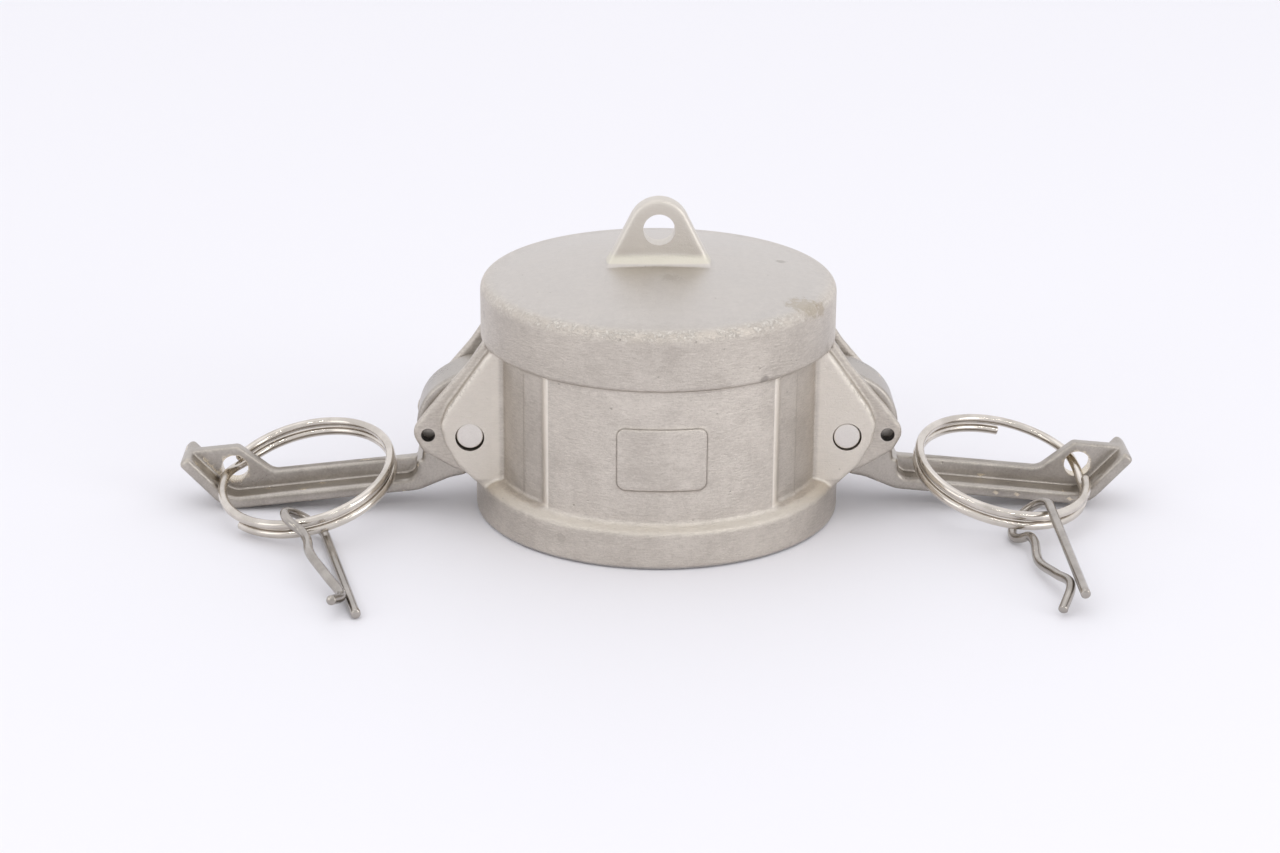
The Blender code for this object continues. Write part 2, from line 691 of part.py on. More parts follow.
def make_arm(side, pose, shapes, material):
    """One cam arm, its origin on the pivot's axis."""
    full, web, bore, ring_hole, clip_hole = shapes
    matrix = arm_matrix(pose)
    arm = place(f"cam_arm_{side}", full.copy(), material, matrix)
    shape_with(arm, helper(f"arm_web_{side}", web, matrix), "UNION")
    shape_with(arm, helper(f"arm_bore_{side}", bore, matrix), "DIFFERENCE")
    at_ring = matrix @ Matrix.Translation((RING_HOLE_REACH, 0, -RING_HOLE_OFFSET))
    shape_with(arm, helper(f"ring_hole_{side}", ring_hole, at_ring), "DIFFERENCE")
    closed = math.radians(-90.0)
    ear_hole = Matrix.Rotation(-closed, 4, "Y") @ Vector((CLIP_HOLE_REACH, 0, -CLIP_HOLE_DROP))
    at_clip = matrix @ Matrix.Translation(ear_hole)
    shape_with(arm, helper(f"arm_clip_hole_{side}", clip_hole, at_clip), "DIFFERENCE")
    return arm


def make_pin(side, pose, mesh, material):
    """One pivot pin through both ears and the arm."""
    matrix = Matrix.Rotation(math.radians(pose["turn"]), 4, "Z") @ Matrix.Translation(
        (PIVOT_REACH, 0, PIVOT_HEIGHT)
    )
    return place(f"pivot_pin_{side}", mesh, material, matrix)


def ring_point(angle):
    """The wire's centre at an angle round the ring from the arm's hole, in the ring's frame.

    The height goes from the lower coil to the upper one in the crossover by the hole.
    """
    past_middle = angle - 360.0 + RING_CROSSOVER_BEFORE_HOLE
    share = min(1.0, max(0.0, 0.5 + past_middle / (2 * RING_CROSSOVER)))
    height = COIL_OFFSET * (2 * share * share * (3 - 2 * share) - 1)
    turn = math.radians(180.0 + angle)
    return Vector(
        (RING_RADIUS + RING_RADIUS * math.cos(turn), RING_RADIUS * math.sin(turn), height)
    )


def make_ring_mesh(step=9.0):
    """The split ring, wound from its lower end to its upper end."""
    start, end = RING_LOWER_END, 720.0 - RING_UPPER_END
    count = round((end - start) / step)
    points = [ring_point(start + (end - start) * i / count) for i in range(count + 1)]
    return wire("finger_ring", points, RING_WIRE_RADIUS)


def ring_matrix(pose):
    """Where the ring hangs in the arm's hole at rest."""
    in_arm = arm_matrix(pose) @ Matrix.Translation(
        (RING_HOLE_REACH + pose["ring_out"], 0, -RING_HOLE_OFFSET - pose["ring_down"])
    )
    outward = 1.0 if pose["turn"] == 0.0 else -1.0
    rise = Matrix.Rotation(math.radians(outward * pose["ring_rise"]), 4, "Y")
    dip = Matrix.Rotation(math.radians(pose["ring_dip"]), 4, "X")
    facing = 180.0 if outward > 0 else 0.0
    heading = Matrix.Rotation(math.radians(facing + pose["ring_heading"]), 4, "Z")
    return Matrix.Translation(in_arm.translation) @ rise @ dip @ heading


def clip_points():
    """The clip's centre line, its eye round the origin and its straight leg at -Y."""
    r = CLIP_EYE_RADIUS
    points = [Vector((CLIP_LENGTH * (1 - i / 6), -r)) for i in range(6)]
    points += arc((0, 0), r, -90, -330, 18)
    last = points[-1]
    neck = Vector((CLIP_NECK_REACH, CLIP_WAVE_HEIGHT - CLIP_NECK_DROP - r))
    waved = [
        last,
        neck,
        Vector((CLIP_CREST_REACH, CLIP_WAVE_HEIGHT - r)),
        Vector((CLIP_SLOPE_REACH, CLIP_SLOPE_HEIGHT - r)),
        Vector((CLIP_PINCH_REACH, CLIP_PINCH_GAP - r)),
        Vector((CLIP_END_REACH, CLIP_END_HEIGHT - r)),
    ]
    start = Vector((math.sin(math.radians(-330)), -math.cos(math.radians(-330))))
    tangents = [start]
    for before, after in zip(waved, waved[2:]):
        tangents.append((after - before).normalized())
    tangents.append((waved[-1] - waved[-2]).normalized())
    for i in range(len(waved) - 1):
        a, b = waved[i], waved[i + 1]
        reach = (b - a).length
        ta, tb = tangents[i] * reach, tangents[i + 1] * reach
        for k in range(1, 6):
            t = k / 5
            point = (
                a * (2 * t**3 - 3 * t**2 + 1)
                + ta * (t**3 - 2 * t**2 + t)
                + b * (3 * t**2 - 2 * t**3)
                + tb * (t**3 - t**2)
            )
            points.append(point)
    return [Vector((point.x, point.y, 0.0)) for point in points]


def clip_matrix(pose, ring):
    """Where the clip lies: its eye round both coils, its lowest point on the table."""
    station = math.radians(pose["clip_station"])
    centre = ring @ Vector((RING_RADIUS, 0, 0))
    plane = ring.to_3x3().col[2]
    towards = Vector((math.cos(station), math.sin(station), 0))
    radial = (towards - plane * towards.dot(plane)).normalized()
    eye = centre + radial * (RING_RADIUS - pose["clip_inset"])
    turn = (
        Matrix.Rotation(math.radians(pose["clip_heading"]), 4, "Z")
        @ Matrix.Rotation(math.radians(pose["clip_pitch"]), 4, "Y")
        @ Matrix.Rotation(math.radians(pose["clip_roll"]), 4, "X")
    )
    lowest = min((turn @ point).z for point in clip_points())
    eye.z = CLIP_WIRE_RADIUS + TABLE_GAP - lowest
    return Matrix.Translation(eye) @ turn


def wire_crossing(pose, ring):
    """The clip's swing axis: the middle of the ring's coils inside the eye, Y along the wire."""
    centre = ring @ Vector((RING_RADIUS, 0, 0))
    plane = ring.to_3x3().col[2]
    radial = clip_matrix(pose, ring).translation - centre
    radial = (radial - plane * radial.dot(plane)).normalized()
    along = plane.cross(radial)
    turn = Matrix((radial, along, plane)).transposed().to_4x4()
    return Matrix.Translation(centre + radial * RING_RADIUS) @ turn


def footprint_centre(clip_mesh):
    """The middle of the table that the part covers, from tip to tip and clips to mouth band."""
    tips = []
    front = 0.0
    for pose in SIDES.values():
        arm = arm_matrix(pose)
        tips += [(arm @ Vector((point.x, 0, point.y))).x for point in arm_outline()]
        clip = clip_matrix(pose, ring_matrix(pose))
        front = min(front, min((clip @ vert.co).y for vert in clip_mesh.vertices))
    return Vector(((min(tips) + max(tips)) / 2, (front + MOUTH_BAND_RADIUS) / 2, 0))


def main():
    """Builds every piece at rest, then sets the origin under the middle of the whole part."""
    clear_scene()
    cast_steel = metal("cast_steel", (0.53, 0.50, 0.46), 0.45)
    arm_steel = metal("arm_steel", (0.50, 0.47, 0.44), 0.38)
    pin_steel = metal("pin_steel", (0.66, 0.63, 0.60), 0.28)
    spring_steel = metal("spring_steel", (0.60, 0.57, 0.53), 0.20)
    nitrile = metal("nitrile", (0.02, 0.02, 0.02), 0.60, metallic=0.0)

    make_cap_body(cast_steel)
    make_gasket(nitrile)
    arm_shapes = make_arm_shape()
    pin_length = 2 * (EAR_OUTER - PIN_RECESS)
    pin_mesh = rod("pivot_pin", PIN_RADIUS, pin_length, 28, PIN_END_CHAMFER)
    ring_mesh = make_ring_mesh()
    clip_mesh = wire("safety_clip", clip_points(), CLIP_WIRE_RADIUS)
    for side, pose in SIDES.items():
        arm = make_arm(side, pose, arm_shapes, arm_steel)
        make_pin(side, pose, pin_mesh, pin_steel)
        at_hole = arm_matrix(pose) @ Matrix.Translation((RING_HOLE_REACH, 0, -RING_HOLE_OFFSET))
        ring_pivot = place(f"ring_pivot_{side}", None, matrix=at_hole, parent=arm)
        hung = ring_matrix(pose)
        ring = place(f"finger_ring_{side}", ring_mesh, spring_steel, hung, ring_pivot)
        clip_pivot = place(
            f"clip_pivot_{side}", None, matrix=wire_crossing(pose, hung), parent=ring
        )
        place(f"safety_clip_{side}", clip_mesh, spring_steel, clip_matrix(pose, hung), clip_pivot)
    centre = footprint_centre(clip_mesh)
    for made in bpy.data.objects:
        if made.parent is None:
            made.location -= centre


main()
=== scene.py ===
"""Camlock dust cap: the looks of the cast cap, its arms, rings, clips, pins and gasket.

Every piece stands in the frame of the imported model, in metres. Shapes are grids of points worked
out with numpy; the cast pieces are then fused and softened, as a casting is.
"""

import math

import bmesh
import bpy
import numpy as np
from mathutils import Matrix, Vector


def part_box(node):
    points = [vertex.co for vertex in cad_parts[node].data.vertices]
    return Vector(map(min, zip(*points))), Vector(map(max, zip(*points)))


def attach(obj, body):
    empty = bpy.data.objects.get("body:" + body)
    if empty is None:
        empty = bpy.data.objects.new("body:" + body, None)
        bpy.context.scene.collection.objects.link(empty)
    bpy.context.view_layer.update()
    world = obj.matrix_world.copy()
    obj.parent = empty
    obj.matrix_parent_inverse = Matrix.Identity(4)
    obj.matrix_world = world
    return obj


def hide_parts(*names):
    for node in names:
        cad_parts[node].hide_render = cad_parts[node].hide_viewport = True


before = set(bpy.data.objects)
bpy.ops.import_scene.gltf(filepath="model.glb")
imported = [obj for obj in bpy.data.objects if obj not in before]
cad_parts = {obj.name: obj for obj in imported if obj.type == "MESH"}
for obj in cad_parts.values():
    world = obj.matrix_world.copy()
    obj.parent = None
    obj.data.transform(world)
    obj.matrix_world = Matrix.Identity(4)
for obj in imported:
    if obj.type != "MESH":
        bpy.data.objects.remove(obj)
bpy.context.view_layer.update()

# The cap's own axis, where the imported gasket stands: every piece is made about it
AXIS = np.array([sum(corner.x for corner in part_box("gasket")) / 2,
                 sum(corner.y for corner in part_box("gasket")) / 2, 0.0])

# Casting, in metres and degrees, mostly as in the solids. The panels' slope, the lug's height and
# foot, the pad's corner, the rounded edges and the ears' pin holes follow the photo more closely
BORE_RADIUS = 0.0320
BORE_DEPTH = 0.0396
MOUTH_CHAMFER = 0.0010
SEAT_RADIUS = 0.0338
SEAT_TOP = 0.0464
MOUTH_BAND_RADIUS = 0.0395
MOUTH_BAND_HEIGHT = 0.0080
SHELF_TOP = 0.0096
CHANNEL_RADIUS = 0.0356
PANEL_RADIUS = 0.0375
PANEL_HALF_ANGLE = 39.0
PANEL_EDGE_ANGLE = 5.5
CHANNEL_STEP_ANGLE = 53.5
CHANNEL_STEP = 0.00022
TOP_BAND_RADIUS = 0.0382
TOP_BAND_LOWER_EDGE = 0.0388
TOP_EDGE_RADIUS = 0.0026
RIM_TOP = 0.0514
CROWN_TOP = 0.0548
PAD_HALF_WIDTH = 0.00933
PAD_HEIGHT = 0.0136
PAD_CENTRE = 0.0237
PAD_CORNER = 0.0018
PAD_PROUD = 0.0004

LUG_THICKNESS = 0.0044
LUG_HEIGHT = 0.0143
LUG_SINK = 0.0014
LUG_LEAN = 26.6
LUG_TOP_RADIUS = 0.0066
LUG_EDGE_RADIUS = 0.0009
LUG_HOLE_RADIUS = 0.0034
LUG_HOLE_HEIGHT = 0.0077
# The foot's section: how high over the crown, and how far it stands out from the lug
LUG_FOOT = [(-0.0016, 0.0015), (-0.0001, 0.0013), (0.0003, 0.0012), (0.0008, 0.0009),
            (0.0014, 0.0005), (0.0021, 0.0002), (0.0028, 0.0)]

PIVOT_REACH = 0.0404
PIVOT_HEIGHT = 0.0195
PIN_RADIUS = 0.0029
PIN_HOLE_RADIUS = 0.0033
EAR_PIN_HOLE_RADIUS = 0.0031
EAR_EDGE_RADIUS = 0.0007
EAR_INNER = 0.0065
EAR_TAB_FACE = 0.0091
EAR_OUTER = 0.0129
EAR_PLATE_STEP = 0.0002
EAR_ROOT_CLEARANCE = 0.0006
EAR_FOOT_SINK = 0.0006
EAR_TOP_SINK = 0.0004
CLIP_HOLE_RADIUS = 0.00145
CLIP_HOLE_REACH = 0.0091
CLIP_HOLE_DROP = 0.0009
GASKET_BORE_RADIUS = 0.0254
PIN_EDGE_RADIUS = 0.00035
PIN_CROWN = 0.00012
WINDOW_LOW = 0.0105
WINDOW_HIGH = 0.0353
WINDOW_CORNER = 0.0008

# Cam arm, in its own frame: u out along the arm from the pivot, v across it
ARM_WIDTH = 0.0122
ARM_EDGE_RADIUS = 0.0010
HUB_RADIUS = 0.0117
CAM_RADIUS = 0.0130
CAM_BACK_RADIUS = 0.0076
FLANGE_OFFSET = 0.0137
FLANGE_THICKNESS = 0.0028
FLANGE_LENGTH = 0.0555
TIP_LENGTH = 0.0144
TIP_BEND = 53.0
TIP_BEND_RADIUS = 0.0070
TIP_CORNER = 0.0010
WEB_THICKNESS = 0.0030
WEB_EDGE_RADIUS = 0.0007
WEB_EDGE_OFFSET = 0.0074
WEB_CREST_OFFSET = 0.0009
POCKET_REACH = 0.0131
POCKET_RADIUS = 0.0042
RING_HOLE_REACH = 0.0527
RING_HOLE_OFFSET = 0.0057
RING_HOLE_RADIUS = 0.0029

# Rings and clips
WIRE_RADIUS = 0.0010
RING_RADIUS = 0.0186
COIL_OFFSET = 0.0012
RING_CROSSOVER = 18.0
RING_CROSSOVER_BEFORE_HOLE = 4.0
RING_LOWER_END = 63.0
CLIP_EYE_RADIUS = 0.0051
CLIP_LENGTH = 0.0408
CLIP_WAVE_HEIGHT = 0.0068
CLIP_PINCH_REACH = 0.0335
CLIP_PINCH_GAP = 0.0022
CLIP_END_REACH = 0.0400
CLIP_END_HEIGHT = 0.0058
TABLE_GAP = 0.0001

# How each side lies at rest: turn about the cap's axis, the arm's droop, the ring's seat in the
# arm's hole and the clip's seat on the ring
SIDES = {
    "left": {
        "turn": 180.0,
        "pin_lift": 0.00026,
        "droop": 6.2,
        "ring_out": 0.0007,
        "ring_down": 0.0011,
        "ring_rise": 11.3,
        "ring_dip": 13.8,
        "ring_heading": -24.5,
        "ring_upper_end": 9.0,
        "clip_station": -89.8,
        "clip_inset": 0.0006,
        "clip_turn": (-76.9, 0.4, 146.5),
    },
    "right": {
        "turn": 0.0,
        "pin_lift": 0.00004,
        "droop": 5.4,
        "ring_out": -0.0004,
        "ring_down": 0.0009,
        "ring_rise": 10.6,
        "ring_dip": 12.0,
        "ring_heading": 24.0,
        "ring_upper_end": 21.0,
        "clip_station": -73.2,
        "clip_inset": 0.0014,
        "clip_turn": (-88.4, 3.8, 222.5),
    },
}

# Colours, as linear red, green, blue and one
CAST_DARK = (0.500, 0.456, 0.405, 1.0)
CAST_LIGHT = (0.690, 0.638, 0.575, 1.0)
EAR_PAINTED_LIGHT = (0.800, 0.745, 0.665, 1.0)
SHELF_TINT = (0.680, 0.625, 0.540, 1.0)
RIM_TINT = (0.620, 0.560, 0.480, 1.0)
RIM_BRIGHT = (0.840, 0.800, 0.730, 1.0)
EDGE_HIGHLIGHT = (0.760, 0.720, 0.660, 1.0)
HOLLOW_SHADE_AND_SMUDGE = (0.330, 0.300, 0.260, 1.0)
HOLE_SHADE = (0.050, 0.045, 0.042, 1.0)
PIT_DARK = (0.300, 0.275, 0.245, 1.0)
MACHINED = (0.600, 0.580, 0.560, 1.0)
ARM_DARK = (0.370, 0.338, 0.302, 1.0)
ARM_LIGHT = (0.500, 0.463, 0.418, 1.0)
ARM_EDGE_HIGHLIGHT = (0.800, 0.705, 0.545, 1.0)
PIN_DARK = (0.690, 0.650, 0.605, 1.0)
PIN_LIGHT = (0.770, 0.730, 0.680, 1.0)
RING_DARK = (0.570, 0.526, 0.471, 1.0)
RING_LIGHT = (0.700, 0.652, 0.591, 1.0)
CLIP_DARK = (0.360, 0.332, 0.300, 1.0)
CLIP_LIGHT = (0.460, 0.428, 0.390, 1.0)
SLOPE_HIGHLIGHT = (0.930, 0.872, 0.784, 1.0)
BAND_SHADE = (0.840, 0.835, 0.830, 1.0)
CROWN_TINT = (0.610, 0.590, 0.570, 1.0)
LUG_PAINTED_LIGHT = (0.710, 0.665, 0.595, 1.0)
LUG_FOOT_REFLECTION = (0.690, 0.655, 0.562, 1.0)
CREASE_SHADE = (0.300, 0.265, 0.230, 1.0)
NITRILE_BLACK = (0.018, 0.018, 0.019, 1.0)
NITRILE_BLOOM = (0.034, 0.034, 0.036, 1.0)
TABLE_WHITE = (0.842, 0.833, 0.862, 1.0)
STUDIO_BRIGHT = (1.04, 1.04, 1.08, 1.0)
STUDIO_DIM = (0.86, 0.86, 0.88, 1.0)

# Marks on the casting: place from the cap's axis, size, raggedness, colour and amount
BODY_MARKS = [
    ((0.0300, -0.0200, 0.0515), 0.0042, 1.5, (0.450, 0.385, 0.285), 0.60),
    ((0.0335, -0.0180, 0.0500), 0.0022, 1.4, (0.420, 0.350, 0.260), 0.60),
    ((0.0212, -0.0318, 0.0392), 0.0013, 0.5, (0.330, 0.300, 0.270), 0.70),
    ((0.0211, -0.0287, 0.0235), 0.0007, 0.3, (0.250, 0.225, 0.200), 0.80),
    ((0.0267, 0.0065, 0.0528), 0.0014, 0.9, (0.380, 0.350, 0.310), 0.60),
    ((0.0023, -0.0102, 0.0546), 0.0026, 1.4, (0.470, 0.435, 0.395), 0.50),
    ((-0.0211, -0.0335, 0.0049), 0.0013, 1.2, (0.440, 0.400, 0.355), 0.50),
    ((-0.0372, -0.0090, 0.0460), 0.0010, 0.8, (0.400, 0.365, 0.325), 0.55),
    ((0.0350, -0.0140, 0.0400), 0.0016, 0.9, (0.420, 0.380, 0.330), 0.55),
]

# Fineness of the softened castings
BODY_VOXEL = 0.00034
ARM_VOXEL = 0.00022
BODY_TRIANGLES = 180000
ARM_TRIANGLES = 70000


def smoothstep(edge0, edge1, value):
    """Rises from 0 to 1 between two edges, level at both: 3t^2 - 2t^3."""
    t = np.clip((value - edge0) / (edge1 - edge0), 0.0, 1.0)
    return t * t * (3 - 2 * t)


def rotation(axis, degrees):
    """A 3 by 3 rotation about X, Y or Z."""
    return np.array(Matrix.Rotation(math.radians(degrees), 3, axis))


def placed(points, turn, move=(0.0, 0.0, 0.0)):
    """Points (..., 3) turned by a 3 by 3 matrix and then moved."""
    return points @ np.asarray(turn).T + np.asarray(move)


def add_object(name, vertices, faces):
    """Links a mesh object at the origin whose faces point out."""
    mesh = bpy.data.meshes.new(name)
    mesh.from_pydata(vertices, [], faces)
    bm = bmesh.new()
    bm.from_mesh(mesh)
    bmesh.ops.remove_doubles(bm, verts=bm.verts, dist=1e-7)
    bmesh.ops.recalc_face_normals(bm, faces=bm.faces)
    bm.to_mesh(mesh)
    bm.free()
    mesh.shade_smooth()
    made = bpy.data.objects.new(name, mesh)
    bpy.context.scene.collection.objects.link(made)
    return made


def grid_faces(rows, columns, wrap_rows=False, wrap_columns=False):
    """Quads between neighbouring points of a grid numbered row by row."""
    i = np.arange(rows if wrap_rows else rows - 1)
    j = np.arange(columns if wrap_columns else columns - 1)
    i, j = np.meshgrid(i, j, indexing="ij")
    below = (i + 1) % rows
    beside = (j + 1) % columns
    quads = (i * columns + j, i * columns + beside, below * columns + beside, below * columns + j)
    return np.stack(quads, axis=-1).reshape(-1, 4).tolist()


def closed_tube(name, points):
    """Rows of points (rows, columns, 3) joined into a tube whose first and last rows are closed."""
    rows, columns = points.shape[:2]
    faces = grid_faces(rows, columns, wrap_columns=True)
    faces += [list(range(columns)), list(range((rows - 1) * columns, rows * columns))]
    return add_object(name, points.reshape(-1, 3), faces)


def rounded(corners, steps=6):
    """An outline through corners (x, y, radius), each corner an arc that touches both its sides."""
    corners = np.asarray(corners, float)
    outline = []
    for before, here, after in zip(np.roll(corners, 1, 0), corners, np.roll(corners, -1, 0)):
        if here[2] <= 0:
            outline.append(here[None, :2])
            continue
        to_before = before[:2] - here[:2]
        to_after = after[:2] - here[:2]
        long_before, long_after = np.linalg.norm(to_before), np.linalg.norm(to_after)
        to_before, to_after = to_before / long_before, to_after / long_after
        half = math.acos(np.clip(to_before @ to_after, -1, 1)) / 2
        reach = min(here[2] / math.tan(half), 0.49 * long_before, 0.49 * long_after)
        middle = (to_before + to_after) / np.linalg.norm(to_before + to_after)
        centre = here[:2] + middle * reach / math.cos(half)
        start = here[:2] + to_before * reach - centre
        end = here[:2] + to_after * reach - centre
        sweep = math.atan2(start[0] * end[1] - start[1] * end[0], start @ end)
        turn = sweep * np.linspace(0, 1, steps + 1)[:, None]
        arc_points = centre + start * np.cos(turn) + np.array([-start[1], start[0]]) * np.sin(turn)
        outline.append(arc_points)
    return np.concatenate(outline)


def arc(centre, radius, start, end, steps):
    """Points of an arc between two angles in degrees."""
    angle = np.radians(np.linspace(start, end, steps + 1))
    return np.asarray(centre) + radius * np.stack([np.cos(angle), np.sin(angle)], axis=-1)


def resampled(outline, spacing, closed=True):
    """The same outline with points at most a spacing apart along its straight runs."""
    ends = np.roll(outline, -1, 0) if closed else outline[1:]
    starts = outline if closed else outline[:-1]
    parts = []
    for start, end in zip(starts, ends):
        count = max(1, math.ceil(np.linalg.norm(end - start) / spacing))
        parts.append(start + (end - start) * np.linspace(0, 1, count, endpoint=False)[:, None])
    if not closed:
        parts.append(outline[-1:])
    return np.concatenate(parts)


def prism(name, outline, low, high, edge=0.0, turn=np.eye(3), move=(0, 0, 0), steps=5):
    """An outline in XZ carried from y = low to y = high.

    Each rim is a quarter round: at a turn t the outline is drawn in by edge (1 - sin t) along its
    own normal and stands edge (1 - cos t) from the rim.
    """
    outline = np.asarray(outline)
    ahead = np.roll(outline, -1, 0) - outline
    behind = outline - np.roll(outline, 1, 0)
    x, z = outline.T
    area = np.sum(x * np.roll(z, -1) - z * np.roll(x, -1))
    sign = 1.0 if area > 0 else -1.0
    tangent = ahead / np.linalg.norm(ahead, axis=1, keepdims=True)
    tangent = tangent + behind / np.linalg.norm(behind, axis=1, keepdims=True)
    tangent /= np.maximum(np.linalg.norm(tangent, axis=1, keepdims=True), 1e-12)
    inward = sign * np.stack([-tangent[:, 1], tangent[:, 0]], axis=-1)
    t = np.linspace(0, math.pi / 2, steps + 1)
    inset = edge * (1 - np.sin(t))
    depth = edge * (1 - np.cos(t))
    insets = np.concatenate([inset, inset[::-1]])
    levels = np.concatenate([low + depth, (high - depth)[::-1]])
    flat = outline[None] + insets[:, None, None] * inward[None]
    points = np.stack([flat[..., 0], np.broadcast_to(levels[:, None], flat.shape[:2]), flat[..., 1]], -1)
    return closed_tube(name, placed(points, turn, move))


def turned(name, profile, steps=180, turn=np.eye(3), move=(0, 0, 0)):
    """A profile of (radius, height) carried round Z: a closed ring, or a line from axis to axis."""
    profile = np.asarray(profile)
    ring = profile[0, 0] > 0
    angle = np.linspace(0, 2 * math.pi, steps, endpoint=False)[:, None]
    points = np.stack(
        [profile[:, 0] * np.cos(angle), profile[:, 0] * np.sin(angle), profile[:, 1] + 0 * angle], -1
    )
    faces = grid_faces(steps, len(profile), wrap_rows=True, wrap_columns=ring)
    return add_object(name, placed(points.reshape(-1, 3), turn, move), faces)


def cylinder_along_y(name, radius, length, turn=np.eye(3), move=(0, 0, 0), sides=64):
    """A plain round bar, used only to cut with."""
    return prism(name, arc((0, 0), radius, 0, 360 - 360 / sides, sides - 1), -length / 2, length / 2,
                 turn=turn, move=move, steps=1)


def swept_wire(name, path, normal, radius, sides=20):
    """A round wire along a nearly flat path: circles across it, each set out from the plane's normal,
    with ends domed by two smaller circles."""
    along = np.gradient(path, axis=0)
    along /= np.linalg.norm(along, axis=1, keepdims=True)
    lift = normal - along * (along @ normal)[:, None]
    lift /= np.linalg.norm(lift, axis=1, keepdims=True)
    across = np.cross(along, lift)
    angle = np.linspace(0, 2 * math.pi, sides, endpoint=False)[None, :, None]
    circle = np.cos(angle) * lift[:, None] + np.sin(angle) * across[:, None]
    chamfer = 0.22 * radius
    rings = path[:, None] + radius * circle
    first = path[:1, None] + (radius - chamfer) * circle[:1]
    last = path[-1:, None] + (radius - chamfer) * circle[-1:]
    rings[0] += along[0] * chamfer
    rings[-1] -= along[-1] * chamfer
    return closed_tube(name, np.concatenate([first, rings, last]))


def only(made):
    """Makes one object the active and only selected one."""
    bpy.ops.object.select_all(action="DESELECT")
    made.select_set(True)
    bpy.context.view_layer.objects.active = made


def fused(name, pieces):
    """Overlapping closed pieces joined into one object."""
    only(pieces[0])
    for piece in pieces:
        piece.select_set(True)
    bpy.ops.object.join()
    pieces[0].name = name
    return pieces[0]


def apply_modifier(made, kind, **values):
    """Adds a modifier with the given values and applies it."""
    only(made)
    step = made.modifiers.new(kind, kind)
    for key, value in values.items():
        setattr(step, key, value)
    bpy.ops.object.modifier_apply(modifier=step.name)


def softened(made, voxel, rounds, triangles):
    """The fused shape as one skin, its corners eased by a few rounds of smoothing."""
    apply_modifier(made, "REMESH", mode="VOXEL", voxel_size=voxel, adaptivity=0.0)
    apply_modifier(made, "SMOOTH", factor=0.5, iterations=rounds)
    made.data.calc_loop_triangles()
    share = triangles / max(1, len(made.data.loop_triangles))
    if share < 1:
        apply_modifier(made, "DECIMATE", decimate_type="COLLAPSE", ratio=share)
    made.data.shade_smooth()
    return made


def cut(made, cutters):
    """Cuts the joined cutters out of a piece and removes them."""
    tool = fused("cutter", cutters)
    apply_modifier(made, "BOOLEAN", operation="DIFFERENCE", solver="EXACT", object=tool)
    bpy.data.objects.remove(tool, do_unlink=True)


def crisp(made, angle=32.0):
    """Keeps drilled edges sharp and wide flat faces flat under the smooth shading."""
    made.data.shade_smooth()
    made.data.set_sharp_from_angle(angle=math.radians(angle))
    apply_modifier(made, "WEIGHTED_NORMAL", keep_sharp=True, mode="FACE_AREA", weight=60)


def shell_outline():
    """The casting's section (radius, height), from the axis inside to the axis on the crown.

    The crown rises from the rim as 1 - (1 - s)^2, where s is the share of the way to the axis.
    """
    corners = [
        (0.0, SEAT_TOP, 0.0),
        (SEAT_RADIUS, SEAT_TOP, 0.0003),
        (SEAT_RADIUS, BORE_DEPTH, 0.0002),
        (BORE_RADIUS, BORE_DEPTH, 0.0003),
        (BORE_RADIUS, MOUTH_CHAMFER, 0.0002),
        (BORE_RADIUS + MOUTH_CHAMFER, 0.0, 0.0003),
        (MOUTH_BAND_RADIUS, 0.0, 0.0006),
        (MOUTH_BAND_RADIUS, MOUTH_BAND_HEIGHT, 0.0009),
        (PANEL_RADIUS, SHELF_TOP, 0.0009),
        (PANEL_RADIUS, TOP_BAND_LOWER_EDGE, 0.0004),
        (TOP_BAND_RADIUS, TOP_BAND_LOWER_EDGE, 0.0003),
        (TOP_BAND_RADIUS, RIM_TOP, TOP_EDGE_RADIUS),
    ]
    share = np.linspace(0.06, 1.0, 28)
    radius = (TOP_BAND_RADIUS - TOP_EDGE_RADIUS * 0.83) * (1 - share)
    height = RIM_TOP - 0.00005 + (CROWN_TOP - RIM_TOP + 0.00005) * (1 - (1 - share) ** 2)
    dome = [(r, z, 0.0) for r, z in zip(radius, height)]
    return rounded(corners + dome)


def wall_drop(angle, height):
    """How far the wall stands in from the panel's radius, at angles from the front and heights.

    Between the mouth shelf and the top band it falls to the channel beyond the panel's sloped edge,
    and by one small step more nearer the ear. The label pad stands proud by a rounded rectangle.
    """
    from_panel = np.degrees(np.abs(np.arcsin(np.clip(np.sin(angle), -1, 1))))
    fall = smoothstep(PANEL_HALF_ANGLE, PANEL_HALF_ANGLE + PANEL_EDGE_ANGLE, from_panel)
    step = smoothstep(CHANNEL_STEP_ANGLE - 0.5, CHANNEL_STEP_ANGLE + 0.5, from_panel)
    drop = fall * (PANEL_RADIUS - CHANNEL_RADIUS - CHANNEL_STEP) + step * CHANNEL_STEP
    across = np.abs(PANEL_RADIUS * np.sin(angle)) - (PAD_HALF_WIDTH - PAD_CORNER)
    up = np.abs(height - PAD_CENTRE) - (PAD_HEIGHT / 2 - PAD_CORNER)
    beyond = np.hypot(np.maximum(across, 0), np.maximum(up, 0)) + np.minimum(np.maximum(across, up), 0)
    front = np.cos(angle) > 0
    pad = PAD_PROUD * (1 - smoothstep(PAD_CORNER - 0.0003, PAD_CORNER + 0.0002, beyond)) * front
    return drop - pad


